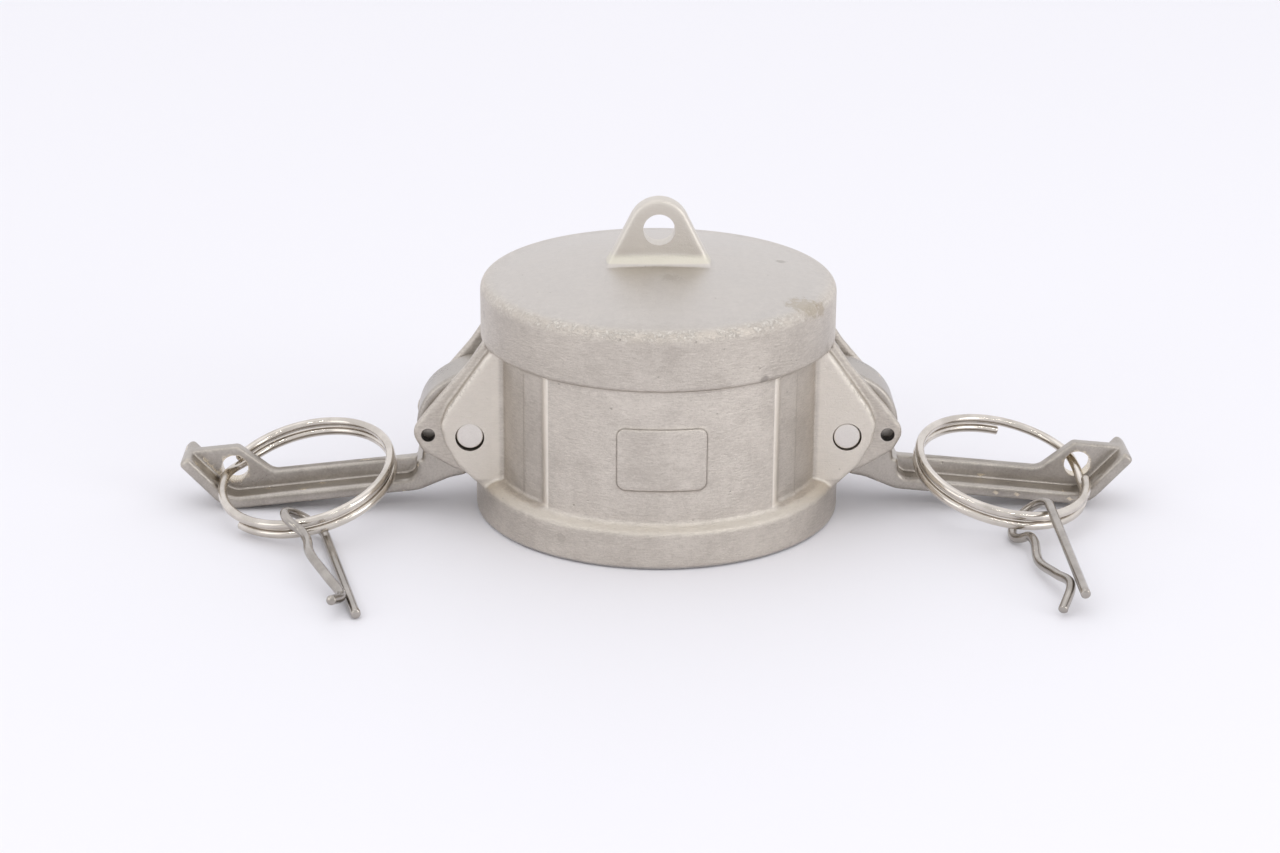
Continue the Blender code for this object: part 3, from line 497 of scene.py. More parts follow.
def make_shell():
    """The shell: the section carried round Z, its wall drawn in by the channels and out by the pad."""
    outline = resampled(shell_outline(), 0.0006, closed=False)
    angle = np.linspace(-math.pi, math.pi, 480, endpoint=False)[:, None]
    radius = outline[None, :, 0] + 0 * angle
    height = outline[None, :, 1] + 0 * angle
    outer = outline[None, :, 0] > PANEL_RADIUS - 0.0006
    band = smoothstep(SHELF_TOP - 0.0003, SHELF_TOP + 0.0005, height)
    band = band * (1 - smoothstep(TOP_BAND_LOWER_EDGE - 0.0006, TOP_BAND_LOWER_EDGE - 0.0001, height))
    radius = radius - wall_drop(angle, height) * band * outer
    points = np.stack([radius * np.sin(angle), -radius * np.cos(angle), height], -1)
    faces = grid_faces(*points.shape[:2], wrap_rows=True)
    return add_object("shell", points.reshape(-1, 3), faces)


def ear_tab_outline():
    """The ear's inner layer, from the mouth band's shelf up to the top band."""
    x, z = PIVOT_REACH, PIVOT_HEIGHT
    root = BORE_RADIUS + EAR_ROOT_CLEARANCE
    return rounded([
        (root, MOUTH_BAND_HEIGHT - EAR_FOOT_SINK, 0),
        (x - 0.0036, MOUTH_BAND_HEIGHT - EAR_FOOT_SINK, 0),
        (x + 0.0042, z - 0.0084, 0.004),
        (x + 0.0104, z - 0.0046, 0.0024),
        (x + 0.0128, z - 0.0002, 0.0032),
        (x + 0.0088, z + 0.0052, 0.010),
        (x + 0.0004, z + 0.0152, 0.012),
        (TOP_BAND_RADIUS - EAR_TOP_SINK, TOP_BAND_LOWER_EDGE + EAR_TOP_SINK, 0),
        (root, TOP_BAND_LOWER_EDGE + EAR_TOP_SINK, 0),
    ])


def ear_plate_outline():
    """The ear's thick outer layer, round the pin."""
    x, z = PIVOT_REACH, PIVOT_HEIGHT
    root = BORE_RADIUS + EAR_ROOT_CLEARANCE
    return rounded([
        (root, MOUTH_BAND_HEIGHT - EAR_FOOT_SINK, 0),
        (x - 0.0030, MOUTH_BAND_HEIGHT - EAR_FOOT_SINK, 0),
        (x + 0.0026, z - 0.0066, 0.004),
        (x + 0.0054, z - 0.0016, 0.002),
        (x + 0.0062, z + 0.0024, 0.002),
        (x + 0.0048, z + 0.0060, 0.006),
        (x - 0.0034, z + 0.0176, 0.003),
        (x - 0.0052, TOP_BAND_LOWER_EDGE + EAR_TOP_SINK, 0),
        (root, TOP_BAND_LOWER_EDGE + EAR_TOP_SINK, 0),
    ])


def lug_outline():
    """The upright lug: leaning sides under a round top."""
    top = arc((0, CROWN_TOP + LUG_HEIGHT - LUG_TOP_RADIUS), LUG_TOP_RADIUS, LUG_LEAN, 180 - LUG_LEAN, 24)
    base = CROWN_TOP - LUG_SINK
    foot = top[0, 0] + (top[0, 1] - base) * math.tan(math.radians(LUG_LEAN))
    return np.concatenate([[(-foot, base), (foot, base)], top])


def make_lug_foot():
    """The lug's foot: rounded rectangles whose half width follows the foot's section."""
    slope = math.tan(math.radians(LUG_LEAN))
    half = lug_outline()[1, 0] - LUG_SINK * slope
    height, flare = np.array(LUG_FOOT).T
    angle = np.radians(np.linspace(0, 360, 72, endpoint=False))
    half_x = (half - height * slope + flare * 0.15)[:, None]
    half_y = (LUG_THICKNESS / 2 + flare - 0.0001)[:, None]
    corner = LUG_EDGE_RADIUS
    square = np.maximum(np.abs(np.cos(angle)), np.abs(np.sin(angle)))
    x = np.clip(np.cos(angle) / square, -1, 1) * (half_x - corner) + corner * np.cos(angle)
    y = np.clip(np.sin(angle) / square, -1, 1) * (half_y - corner) + corner * np.sin(angle)
    return closed_tube("lug_foot", np.stack([x, y, CROWN_TOP + height[:, None] + 0 * x], -1))


def make_cap_body():
    """The whole casting, fused, softened, and then drilled."""
    lug = resampled(lug_outline(), 0.001)
    tab = resampled(ear_tab_outline(), 0.001)
    plate = resampled(ear_plate_outline(), 0.001)
    half = LUG_THICKNESS / 2
    pieces = [make_shell(), prism("lug", lug, -half, half, LUG_EDGE_RADIUS), make_lug_foot()]
    plate_inner = EAR_INNER + EAR_PLATE_STEP
    for turn in (0.0, 180.0):
        for flip in (1.0, -1.0):
            around = rotation("Z", turn) @ np.diag([1.0, flip, 1.0])
            pieces.append(prism("ear_tab", tab, EAR_INNER, EAR_TAB_FACE, EAR_EDGE_RADIUS, around))
            pieces.append(prism("ear_plate", plate, plate_inner, EAR_OUTER, EAR_EDGE_RADIUS, around))
    body = fused("cap_casting", pieces)
    softened(body, BODY_VOXEL, 6, BODY_TRIANGLES)
    inside, outside = BORE_RADIUS * 0.8, PIVOT_REACH + 0.02
    window = ((inside, WINDOW_LOW), (outside, WINDOW_LOW), (outside, WINDOW_HIGH), (inside, WINDOW_HIGH))
    window = [(x, z, WINDOW_CORNER) for x, z in window]
    cutters = []
    for turn in (0.0, 180.0):
        around = rotation("Z", turn)
        cutters.append(prism("window", rounded(window), -EAR_INNER, EAR_INNER, 0.0, around, steps=1))
    cut(body, cutters)
    cutters = []
    for turn in (0.0, 180.0):
        around = rotation("Z", turn)
        at_pin = placed(np.array([PIVOT_REACH, 0, PIVOT_HEIGHT]), around)
        at_clip = placed(np.array([PIVOT_REACH + CLIP_HOLE_REACH, 0, PIVOT_HEIGHT - CLIP_HOLE_DROP]), around)
        cutters.append(cylinder_along_y("pin_hole", EAR_PIN_HOLE_RADIUS, 4 * EAR_OUTER, move=at_pin))
        cutters.append(cylinder_along_y("clip_hole", CLIP_HOLE_RADIUS, 4 * EAR_OUTER, move=at_clip))
    at_lug = (0, 0, CROWN_TOP + LUG_HOLE_HEIGHT)
    cutters.append(cylinder_along_y("lug_hole", LUG_HOLE_RADIUS, 4 * LUG_THICKNESS, move=at_lug))
    cut(body, cutters)
    crisp(body)
    return body


def arm_outline():
    """The arm's full-width part in (u, v): cam, back, heel, neck, flange and bent tip.

    The cam's radius grows by a smooth step from the hub's, between 65 and 110 degrees. The back's
    falls from the cam's by a quarter of a sine wave over the next 50.
    """
    angle = np.arange(20, 111, 7.5)
    share = smoothstep(65.0, 110.0, angle)
    cam_radius = HUB_RADIUS + (CAM_RADIUS - HUB_RADIUS) * share
    turn = np.radians(angle)
    cam = cam_radius[:, None] * np.stack([np.cos(turn), np.sin(turn)], -1)
    angle = np.arange(118, 246, 8.0)
    share = np.minimum(1.0, (angle - 110.0) / 50.0)
    back_radius = CAM_RADIUS + (CAM_BACK_RADIUS - CAM_RADIUS) * np.sin(share * math.pi / 2)
    turn = np.radians(angle)
    back = back_radius[:, None] * np.stack([np.cos(turn), np.sin(turn)], -1)
    bend = math.radians(TIP_BEND)
    tip = np.array([math.cos(bend), math.sin(bend)])
    out = np.array([math.sin(bend), -math.cos(bend)])
    low_bend = np.array([FLANGE_LENGTH, -FLANGE_OFFSET])
    tip_outer = low_bend + tip * TIP_LENGTH
    tip_inner = tip_outer - out * FLANGE_THICKNESS
    inner_bend = FLANGE_LENGTH - FLANGE_THICKNESS * math.tan(bend / 2)
    floor = -FLANGE_OFFSET + FLANGE_THICKNESS
    rest = rounded([
        (-0.0002, -0.0108, 0.0015),
        (0.0060, -0.0115, 0.006),
        (0.0130, -FLANGE_OFFSET, 0.008),
        (low_bend[0], low_bend[1], TIP_BEND_RADIUS),
        (tip_outer[0], tip_outer[1], TIP_CORNER),
        (tip_inner[0], tip_inner[1], TIP_CORNER),
        (inner_bend, floor, TIP_BEND_RADIUS - FLANGE_THICKNESS),
        (POCKET_REACH, floor, POCKET_RADIUS),
        (POCKET_REACH - 0.0003, -WEB_EDGE_OFFSET + 0.0012, 0.001),
    ])
    hub = arc((0, 0), HUB_RADIUS, -20, 12, 4)
    return np.concatenate([cam, back, rest, hub])


def web_outline():
    """The thin web in (u, v), with the crest that holds the ring's hole."""
    floor = -FLANGE_OFFSET + FLANGE_THICKNESS / 2
    bend = math.radians(TIP_BEND)
    run = (FLANGE_OFFSET - WEB_CREST_OFFSET) / math.tan(bend)
    crest_end = FLANGE_LENGTH + run - FLANGE_THICKNESS / math.sin(bend)
    low_end = FLANGE_LENGTH - FLANGE_THICKNESS / 2 * math.tan(bend / 2)
    shoulder = RING_HOLE_REACH - 0.0014
    drop = WEB_EDGE_OFFSET - WEB_CREST_OFFSET
    return rounded([
        (HUB_RADIUS * 0.75, floor, 0),
        (low_end, floor, TIP_BEND_RADIUS - FLANGE_THICKNESS / 2),
        (crest_end, -WEB_CREST_OFFSET, 0),
        (shoulder, -WEB_CREST_OFFSET, 0.0016),
        (shoulder - drop * 1.05, -WEB_EDGE_OFFSET, 0.0030),
        (HUB_RADIUS * 0.75, -WEB_EDGE_OFFSET, 0),
    ])


def arm_frame(pose):
    """The arm's turn and place at rest: drooped about the pivot, then turned to its side."""
    around = rotation("Z", pose["turn"])
    return around @ rotation("Y", pose["droop"]), around @ np.array([PIVOT_REACH, 0, PIVOT_HEIGHT])


def make_arm(side, pose):
    """One cam arm, softened as cast and then drilled for the pin, the ring and the clip."""
    turn, pivot = arm_frame(pose)
    half = ARM_WIDTH / 2
    full = prism("arm", resampled(arm_outline(), 0.0012), -half, half, ARM_EDGE_RADIUS, turn, pivot)
    half = WEB_THICKNESS / 2
    web = prism("web", resampled(web_outline(), 0.0012), -half, half, WEB_EDGE_RADIUS, turn, pivot)
    arm = softened(fused(f"arm_casting_{side}", [full, web]), ARM_VOXEL, 8, ARM_TRIANGLES)
    holes = [
        (PIN_HOLE_RADIUS, (0, 0, 0)),
        (RING_HOLE_RADIUS, (RING_HOLE_REACH, 0, -RING_HOLE_OFFSET)),
        (CLIP_HOLE_RADIUS, (CLIP_HOLE_DROP, 0, CLIP_HOLE_REACH)),
    ]
    cutters = [
        cylinder_along_y("hole", radius, 2 * ARM_WIDTH, turn, placed(np.array(place), turn, pivot))
        for radius, place in holes
    ]
    cut(arm, cutters)
    crisp(arm)
    return arm


def make_pin(side, pose):
    """A pivot pin: a bar along Y with slightly crowned, round-edged ends, lying in its play."""
    low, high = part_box(f"pivot_pin_{side}")
    radius = np.linspace(0.0, PIN_RADIUS - PIN_EDGE_RADIUS, 8)
    end = np.stack([radius, (high.y - low.y) / 2 - PIN_CROWN * (radius / PIN_RADIUS) ** 2], -1)
    corner = arc((radius[-1], end[-1, 1] - PIN_EDGE_RADIUS), PIN_EDGE_RADIUS, 90, 0, 6)
    upper = np.concatenate([end, corner])
    profile = np.concatenate([upper, upper[::-1] * (1, -1)])
    turn = rotation("X", 90.0)
    at_pivot = rotation("Z", pose["turn"]) @ np.array([PIVOT_REACH, 0, PIVOT_HEIGHT])
    return turned(f"pin_{side}", profile, 64, turn, at_pivot + np.array([0, 0, pose["pin_lift"]]))


def ring_frame(pose):
    """The ring's turn and place at rest, hung in the arm's hole."""
    turn, pivot = arm_frame(pose)
    reach = np.array([RING_HOLE_REACH + pose["ring_out"], 0, -RING_HOLE_OFFSET - pose["ring_down"]])
    outward = 1.0 if pose["turn"] == 0.0 else -1.0
    facing = 180.0 if outward > 0 else 0.0
    around = (
        rotation("Y", outward * pose["ring_rise"])
        @ rotation("X", pose["ring_dip"])
        @ rotation("Z", facing + pose["ring_heading"])
    )
    return around, placed(reach, turn, pivot)


def ring_path(pose):
    """The wire's centre line: a circle of two coils, whose height goes from the lower coil to the
    upper one by a smooth step in the crossover near the arm's hole."""
    angle = np.linspace(RING_LOWER_END, 720.0 - pose["ring_upper_end"], 420)
    past_middle = angle - 360.0 + RING_CROSSOVER_BEFORE_HOLE
    height = COIL_OFFSET * (2 * smoothstep(-RING_CROSSOVER, RING_CROSSOVER, past_middle) - 1)
    turn = np.radians(180.0 + angle)
    return np.stack([RING_RADIUS + RING_RADIUS * np.cos(turn), RING_RADIUS * np.sin(turn), height], -1)


def clip_path():
    """The clip's centre line: straight leg, round eye, and a leg waved through five chosen points
    by cubic curves that share their slopes."""
    r = CLIP_EYE_RADIUS
    leg = np.stack([np.linspace(CLIP_LENGTH, 0, 24, endpoint=False), np.full(24, -r)], -1)
    eye = arc((0, 0), r, -90, -330, 60)
    waved = np.array([
        eye[-1],
        (r + 0.0032, CLIP_WAVE_HEIGHT - 0.0006 - r),
        (0.0170, CLIP_WAVE_HEIGHT - r),
        (0.0262, CLIP_WAVE_HEIGHT * 0.62 - r),
        (CLIP_PINCH_REACH, CLIP_PINCH_GAP - r),
        (CLIP_END_REACH, CLIP_END_HEIGHT - r),
    ])
    slope = np.empty_like(waved)
    slope[0] = (math.sin(math.radians(-330)), -math.cos(math.radians(-330)))
    slope[1:-1] = waved[2:] - waved[:-2]
    slope[-1] = waved[-1] - waved[-2]
    slope /= np.linalg.norm(slope, axis=1, keepdims=True)
    t = np.linspace(0, 1, 13)[1:, None]
    runs = []
    for a, b, ta, tb in zip(waved[:-1], waved[1:], slope[:-1], slope[1:]):
        reach = np.linalg.norm(b - a)
        runs.append(
            a * (2 * t**3 - 3 * t**2 + 1)
            + ta * reach * (t**3 - 2 * t**2 + t)
            + b * (3 * t**2 - 2 * t**3)
            + tb * reach * (t**3 - t**2)
        )
    flat = np.concatenate([leg, eye] + runs)
    return np.concatenate([flat, np.zeros((len(flat), 1))], axis=1)


def clip_frame(pose):
    """The clip's turn and place at rest: its eye round both coils, its lowest point on the table."""
    around, origin = ring_frame(pose)
    centre = placed(np.array([RING_RADIUS, 0, 0]), around, origin)
    plane = around[:, 2]
    station = math.radians(pose["clip_station"])
    towards = np.array([math.cos(station), math.sin(station), 0])
    radial = towards - plane * (towards @ plane)
    radial /= np.linalg.norm(radial)
    eye = centre + radial * (RING_RADIUS - pose["clip_inset"])
    heading, pitch, roll = pose["clip_turn"]
    turn = rotation("Z", heading) @ rotation("Y", pitch) @ rotation("X", roll)
    lowest = placed(clip_path(), turn)[:, 2].min()
    eye[2] = WIRE_RADIUS + TABLE_GAP - lowest
    return turn, eye


def make_gasket():
    """The sealing ring: a flat section with rounded corners carried round Z."""
    low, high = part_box("gasket")
    outer = (high.x - low.x) / 2
    corners = ((GASKET_BORE_RADIUS, low.z), (outer, low.z), (outer, high.z), (GASKET_BORE_RADIUS, high.z))
    profile = rounded([(radius, height, 0.0005) for radius, height in corners])
    return turned("gasket_ring", resampled(profile, 0.0015), 144)


def settle(piece, node, body, material):
    """Moves a finished piece onto the cap's axis, gives it its material and its body, and hides the imported
    node it stands for.
    """
    piece.data.transform(Matrix.Translation(AXIS))
    piece.data.materials.clear()
    piece.data.materials.append(material)
    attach(piece, body)
    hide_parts(node)


# Materials
class Nodes:
    """Adds shader nodes to one tree, their inputs given as constants or as sockets to link."""

    def __init__(self, tree):
        self.tree = tree

    def link(self, value, socket):
        """Links a value to an input, or sets a constant there."""
        if isinstance(value, bpy.types.NodeSocket):
            self.tree.links.new(value, socket)
        else:
            socket.default_value = value

    def add(self, kind, values=None, **settings):
        """A node with its settings and its inputs."""
        made = self.tree.nodes.new("ShaderNode" + kind)
        for key, value in settings.items():
            setattr(made, key, value)
        for key, value in (values or {}).items():
            self.link(value, made.inputs[key])
        return made

    def calc(self, operation, first, *others):
        """Arithmetic on one value, or on several from left to right."""
        for other in others or (0.0,):
            first = self.add("Math", {0: first, 1: other}, operation=operation).outputs[0]
        return first

    def times(self, *values):
        """The product of the values."""
        return self.calc("MULTIPLY", *values)

    def plus(self, *values):
        """The sum of the values."""
        return self.calc("ADD", *values)

    def minus(self, *values):
        """The first value less the others."""
        return self.calc("SUBTRACT", *values)

    def most(self, *values):
        """The largest of the values."""
        return self.calc("MAXIMUM", *values)

    def size(self, value):
        """A value without its sign."""
        return self.calc("ABSOLUTE", value)

    def length(self, first, second):
        """The long side of a right triangle."""
        return self.calc("SQRT", self.plus(self.times(first, first), self.times(second, second)))

    def ramp(self, value, low, high, start=0.0, end=1.0):
        """A smooth step of a value, from start at low to end at high."""
        values = {"Value": value, "From Min": low, "From Max": high, "To Min": start, "To Max": end}
        return self.add("MapRange", values, interpolation_type="SMOOTHSTEP").outputs["Result"]

    def fall(self, value, low, high):
        """A smooth step down, from 1 at low to 0 at high."""
        return self.ramp(value, low, high, 1.0, 0.0)

    def blend(self, share, first, second, kind="MIX"):
        """Two colours mixed by a share."""
        values = {0: share, 6: first, 7: second}
        return self.add("Mix", values, data_type="RGBA", blend_type=kind).outputs[2]

    def coats(self, colour, *coats):
        """A colour under coats (mask, amount, tint), one over the other."""
        for mask, amount, tint in coats:
            colour = self.blend(self.times(mask, amount), colour, tint)
        return colour

    def noise(self, where, scale, detail=3.0, roughness=0.6, distortion=0.0):
        """Noise with so many features a metre."""
        values = {"Vector": where, "Scale": scale, "Detail": detail, "Roughness": roughness,
                  "Distortion": distortion}
        return self.add("TexNoise", values).outputs[0]

    def use(self, group, **values):
        """A node group placed here, with its own values."""
        values = {label.replace("_", " "): value for label, value in values.items()}
        return self.add("Group", values, node_tree=group).outputs

    def place(self):
        """Object coordinates."""
        return self.add("TexCoord").outputs["Object"]

    def from_axis(self):
        """Object coordinates from the cap's axis: the place, its radius and its x, y and z."""
        place = self.add("VectorMath", {0: self.place(), 1: tuple(AXIS)}, operation="SUBTRACT").outputs[0]
        parts = self.add("SeparateXYZ", {0: place}).outputs
        flat = self.add("CombineXYZ", {0: parts[0], 1: parts[1]}).outputs[0]
        radius = self.add("VectorMath", {0: flat}, operation="LENGTH").outputs["Value"]
        return place, radius, parts

    def dress(self, shader, colour, shine, height, depth):
        """Feeds a shader its colour, its roughness and a height, in metres at full."""
        self.link(colour, shader.inputs["Base Color"])
        self.link(shine, shader.inputs["Roughness"])
        bump = self.add("Bump", {"Height": height, "Distance": depth, "Strength": 1.0})
        self.link(bump.outputs[0], shader.inputs["Normal"])


def new_material(name, metallic=1.0):
    """A material, its nodes and its shader."""
    made = bpy.data.materials.new(name)
    made.use_nodes = True
    shader = made.node_tree.nodes["Principled BSDF"]
    shader.inputs["Metallic"].default_value = metallic
    return made, Nodes(made.node_tree), shader


def new_group(name, inputs, outputs):
    """An empty node group with inputs and their values, and float outputs."""
    made = bpy.data.node_groups.new(name, "ShaderNodeTree")
    for label, value in inputs.items():
        kind = "NodeSocketVector" if isinstance(value, tuple) else "NodeSocketFloat"
        made.interface.new_socket(label, in_out="INPUT", socket_type=kind).default_value = value
    for label in outputs:
        made.interface.new_socket(label, in_out="OUTPUT", socket_type="NodeSocketFloat")
    entry = made.nodes.new("NodeGroupInput").outputs
    leave = made.nodes.new("NodeGroupOutput").inputs
    return Nodes(made), entry, leave


def make_grain_group():
    """Cast grain: a fine height, a slow mottle, level streaks and sparse small pits."""
    nodes, entry, leave = new_group("cast grain", {"Grain Size": 0.00040, "Pit Share": 0.35},
                                    ["Height", "Mottle", "Streaks", "Pits"])
    where = nodes.place()
    per_metre = nodes.calc("DIVIDE", 1.0, entry["Grain Size"])
    fine = nodes.noise(where, per_metre, 4.0, 0.7)
    coarse = nodes.noise(where, nodes.times(per_metre, 0.22), 3.0, 0.6)
    slow = nodes.noise(where, nodes.times(per_metre, 0.045), 5.0, 0.62, 0.4)
    level = nodes.add("VectorMath", {0: where, 1: (1.0, 1.0, 4.5)}, operation="MULTIPLY").outputs[0]
    streaks = nodes.noise(level, nodes.times(per_metre, 0.26), 5.0, 0.72, 0.5)
    cells = nodes.add("TexVoronoi", {"Vector": where, "Scale": nodes.times(per_metre, 0.26)}).outputs
    sparse = nodes.ramp(nodes.noise(where, nodes.times(per_metre, 0.09), 2.0), 0.55, 0.68)
    dots = nodes.fall(cells["Distance"], 0.06, 0.20)
    lot = nodes.add("SeparateColor", {0: cells["Color"]}).outputs[0]
    chosen = nodes.calc("LESS_THAN", lot, entry["Pit Share"])
    nodes.link(nodes.plus(nodes.times(fine, 0.6), nodes.times(coarse, 0.4)), leave["Height"])
    nodes.link(nodes.plus(nodes.times(slow, 0.55), nodes.times(fine, 0.45)), leave["Mottle"])
    nodes.link(streaks, leave["Streaks"])
    nodes.link(nodes.times(dots, chosen, sparse), leave["Pits"])
    return nodes.tree


def make_rim_group():
    """Rim band: 1 near a circle of a radius and height about the cap's axis, and the same broken up in
    specks.
    """
    nodes, entry, leave = new_group("rim band", {"Radius": 0.0370, "Height": 0.0506, "Width": 0.0016},
                                    ["Wear", "Specks"])
    place, radius, parts = nodes.from_axis()
    off = nodes.length(nodes.minus(radius, entry["Radius"]), nodes.minus(parts[2], entry["Height"]))
    ragged = nodes.times(nodes.minus(nodes.noise(place, 420.0, 4.0, 0.7), 0.5), 0.0022)
    near = nodes.calc("DIVIDE", nodes.plus(off, ragged), entry["Width"])
    near_rim = nodes.fall(near, 0.15, 1.0)
    wide = nodes.ramp(nodes.noise(place, 320.0, 3.0, 0.6), 0.36, 0.56)
    specks = nodes.ramp(nodes.noise(place, 1400.0, 5.0, 0.75), 0.44, 0.60)
    nodes.link(near_rim, leave["Wear"])
    nodes.link(nodes.times(near_rim, specks, wide), leave["Specks"])
    return nodes.tree


def make_wall_group():
    """Wall features of the cap, each 1 where it is: the painted highlight on each panel's slope, the fine
    lines of painted shade beside it and below the top band, and the label pad's rounded rectangle with
    its edge line of painted shade."""
    nodes, entry, leave = new_group("wall features", {"Line Width": 0.00022},
                                    ["Slope", "Lines", "Pad", "Pad Edge"])
    radius, parts = nodes.from_axis()[1:]
    side = nodes.size(parts[0])
    height = parts[2]
    angle = nodes.times(nodes.calc("ARCTAN2", side, nodes.size(parts[1])), 180.0 / math.pi)
    outside = nodes.ramp(radius, CHANNEL_RADIUS - 0.0014, CHANNEL_RADIUS - 0.0010)
    wall = nodes.times(
        nodes.ramp(height, SHELF_TOP, SHELF_TOP + 0.0006),
        nodes.fall(height, TOP_BAND_LOWER_EDGE - 0.0003, TOP_BAND_LOWER_EDGE),
        outside,
        nodes.fall(radius, PANEL_RADIUS + 0.0006, PANEL_RADIUS + 0.0009),
    )
    slope = nodes.times(
        nodes.ramp(angle, PANEL_HALF_ANGLE - 0.5, PANEL_HALF_ANGLE + 0.1),
        nodes.fall(angle, PANEL_HALF_ANGLE + 0.5, PANEL_HALF_ANGLE + PANEL_EDGE_ANGLE),
        wall,
    )
    beside = nodes.times(nodes.size(nodes.minus(angle, CHANNEL_STEP_ANGLE)), CHANNEL_RADIUS * math.pi / 180)
    step = nodes.times(nodes.ramp(beside, 0.0001, entry["Line Width"], 0.8, 0.0), wall)
    below = nodes.size(nodes.minus(height, TOP_BAND_LOWER_EDGE - 0.0001))
    below = nodes.plus(below, nodes.ramp(radius, TOP_BAND_RADIUS - 0.0003, TOP_BAND_RADIUS, 0.0, 0.001))
    under_band_line = nodes.times(nodes.fall(below, 0.0001, entry["Line Width"]), outside)
    across = nodes.minus(side, PAD_HALF_WIDTH - PAD_CORNER)
    up = nodes.minus(nodes.size(nodes.minus(height, PAD_CENTRE)), PAD_HEIGHT / 2 - PAD_CORNER)
    corner = nodes.length(nodes.most(across, 0.0), nodes.most(up, 0.0))
    within = nodes.calc("MINIMUM", nodes.most(across, up), 0.0)
    beyond = nodes.minus(nodes.plus(corner, within), PAD_CORNER)
    edge = nodes.fall(nodes.size(nodes.minus(beyond, 0.00008)), 0.00006, entry["Line Width"])
    front = nodes.calc("LESS_THAN", parts[1], -CHANNEL_RADIUS / 2)
    nodes.link(slope, leave["Slope"])
    nodes.link(nodes.most(step, under_band_line), leave["Lines"])
    nodes.link(nodes.times(nodes.fall(beyond, -0.00016, 0.00006), front), leave["Pad"])
    nodes.link(nodes.times(edge, front), leave["Pad Edge"])
    return nodes.tree


def make_smudge_group():
    """Dark specks along the sloping edge of the ear's outer layer."""
    nodes, entry, leave = new_group("ear smudge", {"Width": 0.0010}, ["Smudge"])
    place, _, parts = nodes.from_axis()
    aside = nodes.minus(nodes.size(parts[0]), PIVOT_REACH + 0.0060)
    above = nodes.minus(parts[2], PIVOT_HEIGHT + 0.0040)
    across = nodes.plus(nodes.times(aside, 0.83), nodes.times(above, 0.56))
    along = nodes.minus(nodes.times(above, 0.83), nodes.times(aside, 0.56))
    near = nodes.fall(nodes.size(across), 0.0001, entry["Width"])
    run = nodes.times(nodes.ramp(along, -0.0030, -0.0010), nodes.fall(along, 0.0120, 0.0160))
    specks = nodes.ramp(nodes.noise(place, 1100.0, 5.0, 0.75), 0.49, 0.60)
    nodes.link(nodes.times(near, run, specks), leave["Smudge"])
    return nodes.tree


def make_patch_group():
    """Patch: 1 inside a ragged spot about a place measured from the cap's axis."""
    nodes, entry, leave = new_group("patch", {"Place": (0.0, 0.0, 0.0), "Size": 0.002, "Ragged": 0.6},
                                    ["Inside"])
    place = nodes.from_axis()[0]
    off = nodes.add("VectorMath", {0: place, 1: entry["Place"]}, operation="DISTANCE").outputs["Value"]
    rough = nodes.minus(nodes.noise(place, 900.0, 5.0, 0.75), 0.5)
    share = nodes.plus(nodes.calc("DIVIDE", off, entry["Size"]), nodes.times(rough, entry["Ragged"], 2.0))
    nodes.link(nodes.fall(share, 0.45, 1.0), leave["Inside"])
    return nodes.tree


def make_edge_group():
    """Rounded edges and hollows, from how the surface bends: edges for a painted highlight, hollows for
    painted shade.
    """
    nodes, entry, leave = new_group("edges", {"Low": 0.505, "High": 0.56}, ["Edge", "Hollow"])
    wobble = nodes.times(nodes.minus(nodes.noise(nodes.place(), 700.0, 3.0), 0.5), 0.03)
    bend = nodes.plus(nodes.add("NewGeometry").outputs["Pointiness"], wobble)
    nodes.link(nodes.ramp(bend, entry["Low"], entry["High"]), leave["Edge"])
    nodes.link(nodes.fall(bend, 0.44, 0.493), leave["Hollow"])
    return nodes.tree


def make_lathe_group():
    """Turning lines: fine rings in height and radius, as a lathe leaves them."""
    nodes, entry, leave = new_group("lathe lines", {"Pitch": 0.00022}, ["Height"])
    radius, parts = nodes.from_axis()[1:]
    along = nodes.calc("DIVIDE", nodes.plus(radius, parts[2]), entry["Pitch"])
    lines = nodes.add("TexNoise", {"W": along, "Scale": 1.0, "Detail": 2.0}, noise_dimensions="1D")
    nodes.link(lines.outputs[0], leave["Height"])
    return nodes.tree


